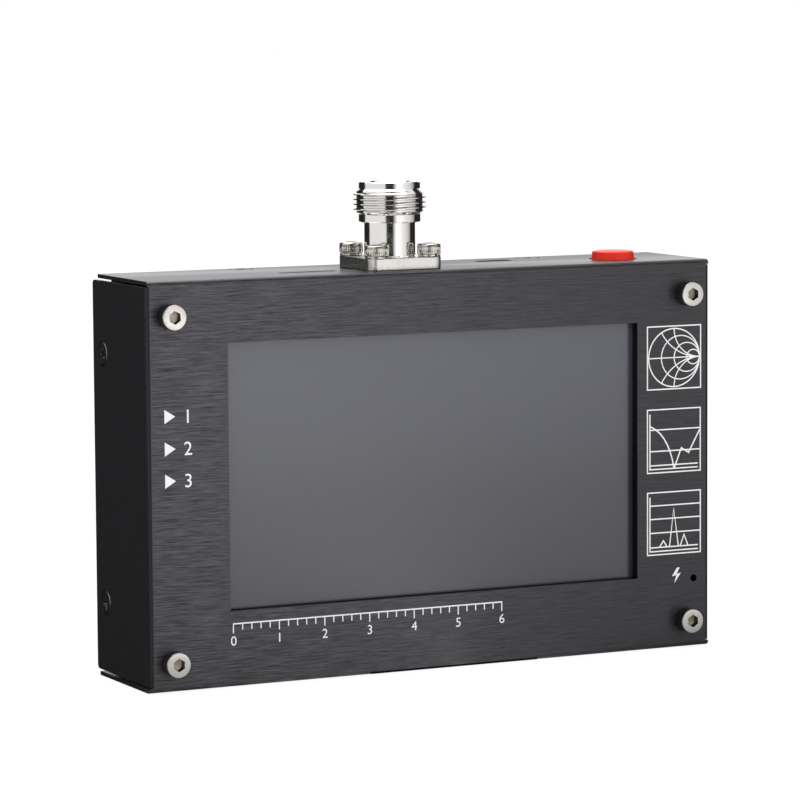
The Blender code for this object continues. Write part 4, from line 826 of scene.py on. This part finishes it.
def washer_mesh():
    """Split spring washer about Z, standing on z = 0, with its ends a little apart in height."""
    bm = bmesh.new()
    steps = 60
    gap = math.radians(12.0)
    lift = 0.12 * MM
    rounding = 0.06 * MM
    inner, outer, thick = SHANK_HOLE_RADIUS, WASHER_RADIUS, WASHER_THICKNESS - lift
    ring = [(inner, rounding), (inner + rounding, 0), (outer - rounding, 0), (outer, rounding),
            (outer, thick - rounding), (outer - rounding, thick), (inner + rounding, thick),
            (inner, thick - rounding)]
    sections = []
    for step in range(steps + 1):
        angle = gap / 2 + step / steps * (math.tau - gap)
        rise = lift * step / steps
        sections.append([bm.verts.new((r * math.cos(angle), r * math.sin(angle), z + rise))
                         for r, z in ring])
    sweep(bm, sections)
    return smoothed(mesh_from("lock_washer", bm))


def add_set(prefix, mesh, materials, slot_name, places, replaced, spins):
    """One object for each place, standing for the CAD node of the same suffix."""
    for k, (suffix, (position, outward)) in enumerate(places.items()):
        turn = UP.rotation_difference(outward).to_matrix() @ Matrix.Rotation(spins[k % len(spins)], 3, "Z")
        add_piece(f"{prefix}_{suffix}", mesh.copy(), materials, "case", slot_name, f"{replaced}_{suffix}",
                  place=Matrix.Translation(position) @ turn.to_4x4())


def add_screws():
    front = cap_screw_mesh("front_screw_detail", FRONT_HEAD, FRONT_SHANK, FRONT_HEAD_EDGE, FRONT_HEAD_GROOVES)
    add_set("screw_front", front, (STEEL, SOCKET_STEEL, SHADED_KNURL_STEEL, SHADED_WALL_STEEL), "bright_steel",
            front_screw_places(-FRONT_SCREW_GAP), "front_screw", (0.0, 0.08, 0.05, 0.02))
    add_set("screw_cover", flat_screw_mesh(), (BLACK_STEEL, RIM_HIGHLIGHT_STEEL), "black_steel", cover_screw_places(),
            "cover_screw", (0.35, 1.1, 0.7, 0.15))
    washer_seat = FLANGE_TOP + SEAT
    add_set("washer_socket", washer_mesh(), (STEEL,), "bright_steel", connector_screw_places(washer_seat),
            "connector_washer", (-2.1, -1.4, 0.9, -0.6))
    head_seat = washer_seat + WASHER_THICKNESS + SEAT
    upper = cap_screw_mesh("connector_screw_detail", CONNECTOR_HEAD, CONNECTOR_SHANK, CONNECTOR_HEAD_EDGE,
                           CONNECTOR_HEAD_GROOVES)
    add_set("screw_socket", upper, (STEEL, SOCKET_STEEL, SIDE_STEEL, SHADED_WALL_STEEL), "bright_steel",
            connector_screw_places(head_seat), "connector_screw", (0.2, 0.5, 0.9, 0.0))


# N-type socket, made about Z with z = 0 on the flange's top face

def thread_row_radius(row):
    """Radius of a row of the thread's outline: a flat root, a flank, a narrow crest, a flank."""
    root_rows, flank_rows, crest_rows = THREAD_ROWS
    place = row % sum((root_rows, flank_rows, crest_rows, flank_rows))
    if place < root_rows:
        share = 0.0
    elif place < root_rows + flank_rows:
        share = (place - root_rows + 1) / (flank_rows + 1)
    elif place < root_rows + flank_rows + crest_rows:
        share = 1.0
    else:
        share = 1 - (place - root_rows - flank_rows - crest_rows + 1) / (flank_rows + 1)
    return THREAD_ROOT + (THREAD_CREST - THREAD_ROOT) * share


def add_thread(bm, low, high, steps):
    """Helical thread whose rows of vertices follow the helix, cut off by a cone at each end."""
    per_turn = THREAD_ROWS[0] + 2 * THREAD_ROWS[1] + THREAD_ROWS[2]
    count = math.ceil((high - low) / THREAD_PITCH * per_turn)
    grid = {}
    for row in range(-per_turn, count + 1):
        for step in range(steps):
            z = low + (row / per_turn + step / steps) * THREAD_PITCH
            z = min(max(z, low), high)
            out = min(thread_row_radius(row), RIM_RADIUS + THREAD_CONE * (high - z),
                      COLLAR_RADIUS + THREAD_CONE * (z - low))
            angle = step / steps * math.tau
            grid[row, step] = bm.verts.new((out * math.cos(angle), out * math.sin(angle), z))
    for row in range(-per_turn, count):
        for step in range(steps):
            near = [grid[row, step], grid[row + 1, step]]
            if step + 1 < steps:
                far = [grid[row + 1, step + 1], grid[row, step + 1]]
            elif row + 1 + per_turn <= count:
                far = [grid[row + 1 + per_turn, 0], grid[row + per_turn, 0]]
            else:
                continue
            bm.faces.new(near + far)


def barrel_mesh():
    rim_low = RIM_HEIGHT - RIM_WIDTH
    collar_low, collar_high = COLLAR_HEIGHTS
    edge, foot, floor = SOCKET_EDGE, BARREL_RADIUS + BARREL_FILLET, RIM_HEIGHT - MOUTH_DEPTH
    bore = INSULATOR_RADIUS + BORE_GAP
    profile = [(COLLAR_RADIUS, collar_high), (COLLAR_RADIUS, collar_low + edge),
               (COLLAR_RADIUS - edge, collar_low), (BARREL_RADIUS, collar_low),
               (BARREL_RADIUS, BARREL_FILLET), (foot, 0), (foot, -BARREL_FOOT), (bore, -BARREL_FOOT),
               (bore, floor), (MOUTH_RADIUS, floor), (MOUTH_RADIUS, RIM_HEIGHT - MOUTH_CHAMFER),
               (MOUTH_RADIUS + MOUTH_CHAMFER, RIM_HEIGHT), (RIM_RADIUS - edge, RIM_HEIGHT),
               (RIM_RADIUS, RIM_HEIGHT - edge), (RIM_RADIUS, rim_low)]
    bm = revolve(profile, BARREL_STEPS)
    add_thread(bm, collar_high, rim_low, BARREL_STEPS)
    bmesh.ops.remove_doubles(bm, verts=bm.verts, dist=MERGE)
    bmesh.ops.recalc_face_normals(bm, faces=bm.faces)
    return smoothed(mesh_from("socket_barrel", bm))


def rounded_block(width, radius, low, high, steps=10):
    bm = bmesh.new()
    outline = []
    for quarter, (sx, sy) in enumerate(((1, 1), (-1, 1), (-1, -1), (1, -1))):
        for step in range(steps + 1):
            angle = (quarter + step / steps) * math.pi / 2
            outline.append((sx * (width / 2 - radius) + radius * math.cos(angle),
                            sy * (width / 2 - radius) + radius * math.sin(angle)))
    face = bm.faces.new([bm.verts.new((x, y, low)) for x, y in outline])
    grown = bmesh.ops.extrude_face_region(bm, geom=[face])
    top = [item for item in grown["geom"] if isinstance(item, bmesh.types.BMVert)]
    bmesh.ops.translate(bm, verts=top, vec=(0, 0, high - low))
    bmesh.ops.recalc_face_normals(bm, faces=bm.faces)
    return bm


def flange_mesh():
    flange = rounded_block(FLANGE_WIDTH, FLANGE_CORNER_RADIUS, FLANGE_BOTTOM - FLANGE_TOP, 0)
    half = FLANGE_HOLE_PITCH / 2
    holes = [rod(INSULATOR_RADIUS + BORE_GAP, -4 * SHEET, OVERRUN, 64)]
    holes += [turned_to(rod(SHANK_HOLE_RADIUS, -4 * SHEET, OVERRUN), Vector((x, y, 0)), UP)
              for x in (-half, half) for y in (-half, half)]
    return cut_mesh("socket_flange", flange, [merged(holes)], bevel=SOCKET_EDGE)


def insulator_mesh(foot):
    step, edge, bore = RIM_HEIGHT - MOUTH_DEPTH - BORE_GAP, SOCKET_EDGE, CONTACT_RADIUS + BORE_GAP
    ring = [(bore, step), (INSULATOR_RADIUS - edge, step), (INSULATOR_RADIUS, step - edge),
            (INSULATOR_RADIUS, foot), (bore, foot)]
    return smoothed(mesh_from("socket_insulator", revolve(ring, 64, closed=True)))


def contact_mesh(foot):
    """Slit contact with a bore in its tip and a thin tail below the insulator."""
    edge, tip = SOCKET_EDGE, RIM_HEIGHT - CONTACT_RECESS
    bore, bore_depth = CONTACT_BORE
    slit_width, slit_depth = CONTACT_SLIT
    tail_radius, tail_length = CONTACT_TAIL
    tail = CASE_HEIGHT - SHEET - tail_length - FLANGE_TOP
    pin = revolve([(0, tip - bore_depth), (bore, tip - bore_depth), (bore, tip - edge), (bore + edge, tip),
                   (CONTACT_RADIUS - edge, tip), (CONTACT_RADIUS, tip - edge), (CONTACT_RADIUS, foot),
                   (tail_radius, foot), (tail_radius, tail), (0, tail)], 48)
    wide, narrow = CONTACT_RADIUS + OVERRUN, slit_width / 2
    slits = [block((-x, -y, tip - slit_depth), (x, y, tip + OVERRUN)) for x, y in
             ((wide, narrow), (narrow, wide))]
    return cut_mesh("socket_contact", pin, slits)


def add_connector():
    place = Matrix.Translation(at_depth(CONNECTOR_X, CONNECTOR_DEPTH, FLANGE_TOP))
    foot = CASE_HEIGHT - SHEET - INSULATOR_TAIL - FLANGE_TOP
    for name, mesh, look, slot_name, replaced in (
            ("socket_flange", flange_mesh(), FLANGE_NICKEL, "nickel_plate", "n_connector_body"),
            ("socket_barrel", barrel_mesh(), NICKEL, "nickel_plate", "n_connector_body"),
            ("socket_insulator", insulator_mesh(foot), WHITE_PLASTIC, "white_plastic",
             "n_connector_insulator"),
            ("socket_contact", contact_mesh(foot), GOLD, "gold_contact", "n_connector_contact")):
        add_piece(name, mesh, (look,), "case", slot_name, replaced, place=place)


# Button

def add_button():
    disc_low = BUTTON_PROUD - BUTTON_HEIGHT
    hub_bore, hub_radius, hub_height = BUTTON_HUB
    hub_low = disc_low - hub_height
    edge = BUTTON_EDGE
    profile = [(0, BUTTON_PROUD)]
    profile += [(BUTTON_TOP_RADIUS * share, BUTTON_PROUD - BUTTON_CROWN * share ** 4)
                for share in (0.3, 0.6, 0.8)]
    for step in range(7):
        angle = (1 - step / 6) * math.pi / 2
        profile.append((BUTTON_TOP_RADIUS - edge + edge * math.cos(angle),
                        BUTTON_PROUD - BUTTON_CROWN - edge + edge * math.sin(angle)))
    profile += [(BUTTON_RADIUS, disc_low + BUTTON_FOOT_EDGE), (BUTTON_RADIUS - BUTTON_FOOT_EDGE, disc_low),
                (hub_radius, disc_low), (hub_radius, hub_low), (hub_bore, hub_low), (hub_bore, disc_low),
                (0, disc_low)]
    add_piece("button_cap", smoothed(mesh_from("button_cap", revolve(profile, 96))), (RED,), "power_button",
              "red_plastic", "power_button_cap",
              place=Matrix.Translation(at_depth(BUTTON_X, BUTTON_DEPTH, CASE_HEIGHT)))


def add_button_spring():
    """Return spring of the button's switch, coiled to fill the CAD spring's box at rest; nothing here
    shortens it as the button goes down.
    """
    low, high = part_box("power_switch_spring")
    wire = SPRING_WIRE_RADIUS
    middle = (low + high) / 2
    radius = (high.x - low.x) / 2 - wire
    rise = high.z - low.z - 2 * wire - SPRING_PLAY
    steps = SPRING_TURNS * SPRING_STEPS
    bm = bmesh.new()
    rings = []
    for step in range(steps + 1):
        turn = Matrix.Rotation(step / steps * SPRING_TURNS * math.tau, 3, "Z")
        centre = Vector((middle.x, middle.y, low.z + wire + rise * step / steps))
        angles = [side / SPRING_SIDES * math.tau for side in range(SPRING_SIDES)]
        rings.append([bm.verts.new(turn @ Vector((radius + wire * math.cos(angle), 0, wire * math.sin(angle)))
                                   + centre) for angle in angles])
    sweep(bm, rings)
    spring = add_piece("button_spring", smoothed(mesh_from("button_spring", bm)), (STEEL,), "case",
                       "bright_steel", "power_switch_spring")
    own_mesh(spring)


# Printed marks on the front face, as closed slivers of ink; points are (x, z)

class Ink:
    """One print; each mark in it stands a little higher than the one before."""

    def __init__(self):
        self.bm = bmesh.new()
        self.layer = 0

    def rows(self, outlines):
        """Front and back vertices for each of the given pairs of points."""
        self.layer += 1
        front, back = FRONT_Y - PRINT_PROUD - self.layer * PRINT_STEP, FRONT_Y + PRINT_SUNK
        return [[self.bm.verts.new((x, y, z)) for y, (x, z) in
                 ((front, first), (front, second), (back, second), (back, first))]
                for first, second in outlines]

    def stroke(self, points, width=PRINT_WIDTH, closed=False):
        """Line of even width with mitred corners."""
        points = [Vector(point) for point in points]
        last = len(points) - 1
        edges = []
        for k, point in enumerate(points):
            ways = []
            if closed or k:
                ways.append((point - points[k - 1]).normalized())
            if closed or k < last:
                ways.append((points[(k + 1) % len(points)] - point).normalized())
            normals = [Vector((-way.y, way.x)) for way in ways]
            middle = (normals[0] + normals[-1]).normalized()
            reach = width / 2 / max(middle.dot(normals[0]), MITRE_LIMIT)
            edges.append((point + middle * reach, point - middle * reach))
        rows = self.rows(edges)
        for near, far in zip(rows, rows[1:] + rows[:1] if closed else rows[1:]):
            bridge(self.bm, near, far)
        if not closed:
            self.bm.faces.new(rows[0])
            self.bm.faces.new(rows[-1])

    def filled(self, outline):
        rows = self.rows([(point, point) for point in outline])
        for row in rows:
            self.bm.verts.remove(row.pop(2))
            self.bm.verts.remove(row.pop(1))
        self.bm.faces.new([row[0] for row in rows])
        self.bm.faces.new([row[1] for row in rows])
        for near, far in zip(rows, rows[1:] + rows[:1]):
            self.bm.faces.new((near[0], far[0], far[1], near[1]))

    def rectangle(self, left, right, top, bottom):
        self.stroke(scaled([(left, bottom), (right, bottom), (right, top), (left, top)]), closed=True)

    def circle(self, centre, radius, width=PRINT_WIDTH):
        self.stroke(arc(centre, radius, 0, math.tau, 64)[:-1], width, closed=True)

    def finish(self, name):
        bmesh.ops.recalc_face_normals(self.bm, faces=self.bm.faces)
        add_piece(name, mesh_from(name, self.bm), (PRINT,), "case", None)


def arc(centre, radius, start, end, steps):
    return [(centre[0] + radius * math.cos(start + (end - start) * k / steps),
             centre[1] + radius * math.sin(start + (end - start) * k / steps)) for k in range(steps + 1)]


def scaled(points):
    return [(x * MM + PRINT_SHIFT, z * MM + PRINT_LIFT) for x, z in points]


def add_impedance_chart():
    """Framed chart of circles that all touch at its right end."""
    ink = Ink()
    ink.rectangle(52.32, 65.95, 72.23, 58.2)
    centre, radius = scaled([(59.13, 65.18)])[0], 6.5 * MM
    ink.circle(centre, radius)
    for share in (0.75, 0.5, 0.25):
        ink.circle((centre[0] + radius * (1 - share), centre[1]), radius * share, FINE_WIDTH)
    ink.stroke([(centre[0] - radius, centre[1]), (centre[0] + radius, centre[1])], FINE_WIDTH)
    for reactance in (0.58, 1.0):
        reach = radius / reactance
        turn = 2 * math.atan(reactance)
        for sign in (-1, 1):
            middle = (centre[0] + radius, centre[1] + sign * reach)
            ink.stroke(arc(middle, reach, -sign * math.pi / 2, -sign * (math.pi / 2 + turn), 28), FINE_WIDTH)
    ink.finish("print_impedance_chart")


def add_match_chart():
    """Framed chart with a curve that dips twice."""
    ink = Ink()
    ink.rectangle(52.32, 65.88, 53.68, 39.55)
    ink.stroke(scaled([(52.95, 52.7), (52.95, 40.15)]))
    for height, end in ((49.16, 65.8), (44.37, 65.8), (41.19, 65.24), (40.34, 65.24)):
        ink.stroke(scaled([(52.95, height), (end, height)]))
    fall = [(53.1, 49.95), (54.3, 49.3), (55.5, 48.35), (56.55, 47.1), (57.45, 45.6), (58.15, 44.0),
            (58.7, 42.3), (59.05, 40.6)]
    ink.stroke(scaled(fall + [(59.25, 40.6), (61.0, 44.85), (62.86, 43.7), (65.72, 48.75)]), CURVE_WIDTH)
    ink.finish("print_match_chart")


def add_level_chart():
    """Framed chart with one high and two low peaks."""
    ink = Ink()
    ink.rectangle(52.33, 65.92, 35.09, 21.12)
    ink.stroke(scaled([(52.95, 34.1), (52.95, 21.75)]))
    for height, end in ((32.15, 65.8), (29.14, 65.8), (26.02, 65.8), (22.76, 65.28), (21.88, 65.28)):
        ink.stroke(scaled([(52.95, height), (end, height)]))
    for peak in (((55.4, 22.8), (56.4, 24.2), (57.3, 22.8)), ((57.97, 22.8), (59.04, 31.3), (60.23, 22.8)),
                 ((60.73, 22.8), (61.7, 25.3), (62.71, 22.8))):
        ink.stroke(scaled(peak))
    ink.finish("print_level_chart")


def add_band_marks():
    ink = Ink()
    for height in (58.35, 51.5, 44.7):
        ink.filled(scaled([(-63.85, height + 1.5), (-61.4, height), (-63.85, height - 1.5)]))
    ink.finish("print_band_arrows")
    for number, height in enumerate((58.1, 51.3, 44.5), start=1):
        add_number(f"print_band_{number}", str(number), -59.6 * MM, height * MM + PRINT_LIFT, 3.0 * MM)


def add_number(name, text, x, z, height, align="LEFT"):
    """Plain number printed on the front, centred on z."""
    curve = bpy.data.curves.new(name, "FONT")
    curve.body = text
    curve.size = height / DIGIT_SHARE
    curve.extrude = (PRINT_PROUD + PRINT_SUNK) / 2
    curve.align_x = align
    curve.align_y = "CENTER"
    source = bpy.data.objects.new(name, curve)
    bpy.context.collection.objects.link(source)
    bpy.context.view_layer.update()
    mesh = evaluated(source)
    bpy.data.objects.remove(source, do_unlink=True)
    middle = Matrix.Translation((x, FRONT_Y - (PRINT_PROUD - PRINT_SUNK) / 2, z))
    add_piece(name, mesh, (PRINT,), "case", None, place=middle @ Matrix.Rotation(math.pi / 2, 4, "X"))


def add_number_scale():
    """Plain scale of ticks and numbers below the window."""
    left, right = -48.6, 15.6
    ink = Ink()
    steps = 30
    for step in range(steps + 1):
        x = left + (right - left) * step / steps
        low = 12.0 if step % 5 else 11.4
        ink.stroke(scaled([(x, low), (x, 13.4)]), FINE_WIDTH)
    ink.stroke(scaled([(left - 0.12, 13.4), (right + 0.12, 13.4)]))
    ink.finish("print_scale_ticks")
    for number in range(7):
        x = left + (right - left) * number / 6
        add_number(f"print_scale_{number}", str(number), x * MM, 9.6 * MM + PRINT_LIFT, 2.1 * MM, "CENTER")


def add_charge_mark():
    """Bolt beside the indicator hole."""
    ink = Ink()
    ink.filled(scaled([(59.9, 17.9), (58.6, 16.0), (59.75, 16.25), (59.2, 14.4), (60.9, 16.7), (59.75, 16.45),
                       (60.6, 17.9)]))
    ink.finish("print_charge_mark")


def add_prints():
    add_impedance_chart()
    add_match_chart()
    add_level_chart()
    add_band_marks()
    add_number_scale()
    add_charge_mark()


# Materials of the CAD nodes that stay

def dress_nodes():
    corners = [f"{side}_{level}" for side in SIDES for level in FRONT_SCREW_HEIGHTS]
    stack = [f"{prefix}_{corner}" for prefix in ("front_spacer", "rear_standoff") for corner in corners]
    for look, *names in (
            (FOAM, "window_gasket", "battery_pad"),
            (SCREEN, "touch_panel"),
            (DARK_GLASS, "lcd_glass"),
            (WHITE_PLASTIC, "lcd_backlight", "charging_led", "power_switch_plunger", "battery_plug"),
            (TINNED, "lcd_frame", "rf_shield", "microsd_socket", "micro_usb_socket"),
            (FILM, "lcd_flex"),
            (BOARD, "main_board", "rf_board"),
            (GOLD, "rf_link"),
            (BLACK_PLASTIC, "power_switch_housing", "power_switch_base", "battery_cable"),
            (FOIL, "battery_cell"),
            (BRASS, *stack),
            (STEEL, "connector_nut_plate", *(f"board_screw_{corner}" for corner in corners))):
        for name in names:
            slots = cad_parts[name].data.materials
            slots.clear()
            slots.append(look)


# Studio

def add_camera():
    data = bpy.data.cameras.new("camera")
    data.lens = FOCAL_LENGTH
    data.sensor_width = SENSOR
    data.sensor_fit = "HORIZONTAL"
    data.clip_start = 0.01
    data.clip_end = 50.0
    camera = bpy.data.objects.new("camera", data)
    turn = Euler((math.pi / 2 - CAMERA_PITCH, 0, -CAMERA_YAW)).to_matrix()
    turn = turn @ Matrix.Rotation(CAMERA_ROLL, 3, "Z")
    camera.matrix_world = Matrix.Translation(CAMERA_PLACE) @ turn.to_4x4()
    bpy.context.collection.objects.link(camera)
    bpy.context.scene.camera = camera


def add_area_light(name, place, target, size, strength):
    """Soft light of size (width, height) in metres; strength is its radiance."""
    data = bpy.data.lights.new(name, "AREA")
    data.shape = "RECTANGLE"
    data.size, data.size_y = size
    data.energy = strength * math.pi * size[0] * size[1]
    lamp = bpy.data.objects.new(name, data)
    lamp.visible_glossy = False
    lamp.location = place
    lamp.rotation_euler = (Vector(target) - Vector(place)).to_track_quat("-Z", "Y").to_euler()
    bpy.context.collection.objects.link(lamp)


def seen_background(tree):
    """1 for rays that should see the plain white background, else 0."""
    path = node(tree, "ShaderNodeLightPath")
    seen = math_node(tree, "MAXIMUM", path.outputs["Is Camera Ray"], path.outputs["Is Glossy Ray"])
    return math_node(tree, "MAXIMUM", seen, path.outputs["Is Transmission Ray"])


def add_world():
    world = bpy.data.worlds.new("studio")
    world.use_nodes = True
    bpy.context.scene.world = world
    tree = world.node_tree
    tree.nodes.clear()
    soft, white = (node(tree, "ShaderNodeBackground", {"Color": color, "Strength": strength}).outputs[0]
                   for color, strength in ((WORLD_COLOR, WORLD_STRENGTH), (WHITE, 1.0)))
    node(tree, "ShaderNodeOutputWorld", {"Surface": mixed(tree, seen_background(tree), soft, white)})


def by_angle(tree, stops):
    """Strength that depends on the angle round the object, 0 towards the camera, in degrees."""
    turn = node(tree, "ShaderNodeMapping", {
        "Vector": node(tree, "ShaderNodeTexCoord").outputs["Object"],
        "Rotation": (0, 0, math.pi / 2 + CAMERA_YAW)})
    radial = node(tree, "ShaderNodeTexGradient", {"Vector": turn.outputs["Vector"]}, gradient_type="RADIAL")
    ramp = node(tree, "ShaderNodeValToRGB", {"Fac": radial.outputs["Fac"]})
    elements = ramp.color_ramp.elements
    while len(elements) < len(stops):
        elements.new(0.5)
    for element, (angle, value) in zip(elements, stops):
        element.position = 0.5 + angle / 360
        element.color = (*[value / GRADING_SCALE] * 3, 1.0)
    return math_node(tree, "MULTIPLY", ramp.outputs["Color"], GRADING_SCALE)


def flat_mesh(name, low, high, z):
    """Level rectangle between two corners."""
    bm = bmesh.new()
    bm.faces.new([bm.verts.new((x, y, z)) for x, y in (low, (high[0], low[1]), high, (low[0], high[1]))])
    return mesh_from(name, bm)


def add_floor():
    """Floor that is white to the camera but for the object's shadow; reflections see it graded."""
    material, tree = cleared_material("pale_floor")
    matt, lifted = (node(tree, "ShaderNodeBsdfDiffuse", {"Color": (shade, shade, shade, 1.0)}).outputs[0]
                    for shade in FLOOR_SHADES)
    place = node(tree, "ShaderNodeTexCoord").outputs["Object"]
    distance = node(tree, "ShaderNodeVectorMath", {0: place}, operation="LENGTH").outputs["Value"]
    lit = glow(tree, spread(tree, distance, *FLOOR_GLOW, FLOOR_GLOW_REACH))
    total = node(tree, "ShaderNodeAddShader", {0: lifted, 1: lit}).outputs[0]
    graded = math_node(tree, "MULTIPLY", by_angle(tree, FLOOR_GRADING),
                       spread(tree, distance, *FLOOR_DEPTH_GRADING, FLOOR_DEPTH_REACH))
    glossy = node(tree, "ShaderNodeLightPath").outputs["Is Glossy Ray"]
    surface = mixed(tree, glossy, mixed(tree, seen_background(tree), matt, total), glow(tree, graded))
    node(tree, "ShaderNodeOutputMaterial", {"Surface": surface})
    low, high = [(sign * FLOOR_HALF, sign * FLOOR_HALF) for sign in (-1, 1)]
    new_object("floor", flat_mesh("floor", low, high, -FLOOR_GAP), material)


def add_card(name, mesh, strength, stops=None):
    """Glowing card that only reflections see; stops may grade it by the angle round the object."""
    material, tree = cleared_material(name)
    shine = glow(tree, by_angle(tree, stops) if stops else strength)
    node(tree, "ShaderNodeOutputMaterial", {"Surface": shine})
    card = new_object(name, mesh, material)
    card.visible_camera = False
    card.visible_diffuse = False
    card.visible_shadow = False
    card.visible_transmission = False


def add_surround():
    """Ring of studio cards."""
    bm = bmesh.new()
    angles = [k / SURROUND_STEPS * math.tau for k in range(SURROUND_STEPS)]
    rows = [[bm.verts.new((SURROUND_RADIUS * math.cos(angle), SURROUND_RADIUS * math.sin(angle), z))
             for angle in angles] for z in (0, SURROUND_HEIGHT)]
    bridge(bm, *rows)
    add_card("surround", mesh_from("surround", bm), 1.0, WALL_GRADING)


def add_lying_card(name, low, high, z, strength):
    add_card(name, flat_mesh(name, low, high, z), strength)


def add_cards():
    add_surround()
    add_lying_card("card_overhead", (-0.2, -0.12), (0.25, 0.6), 0.6, 3.2)
    add_lying_card("card_high_front", (-0.1, -1.2), (0.9, -0.16), 0.45, 0.012)


def add_lights():
    add_area_light("light_top", (0.05, -0.05, 0.7), (0, 0, 0.05), (0.9, 0.7), 0.85)
    add_area_light("light_front_left", (-0.55, -0.75, 0.55), (0, 0, 0.05), (0.5, 0.4), 1.6)
    add_area_light("light_front_right", (0.35, -0.8, 0.35), (0, 0, 0.04), (0.35, 0.5), 1.2)


add_front_sheet()
add_slot_strip()
add_rear_sheet()
add_screws()
add_connector()
add_button()
add_button_spring()
add_prints()
dress_nodes()
add_camera()
add_world()
add_floor()
add_cards()
add_lights()
bpy.context.scene.view_settings.view_transform = "Standard"
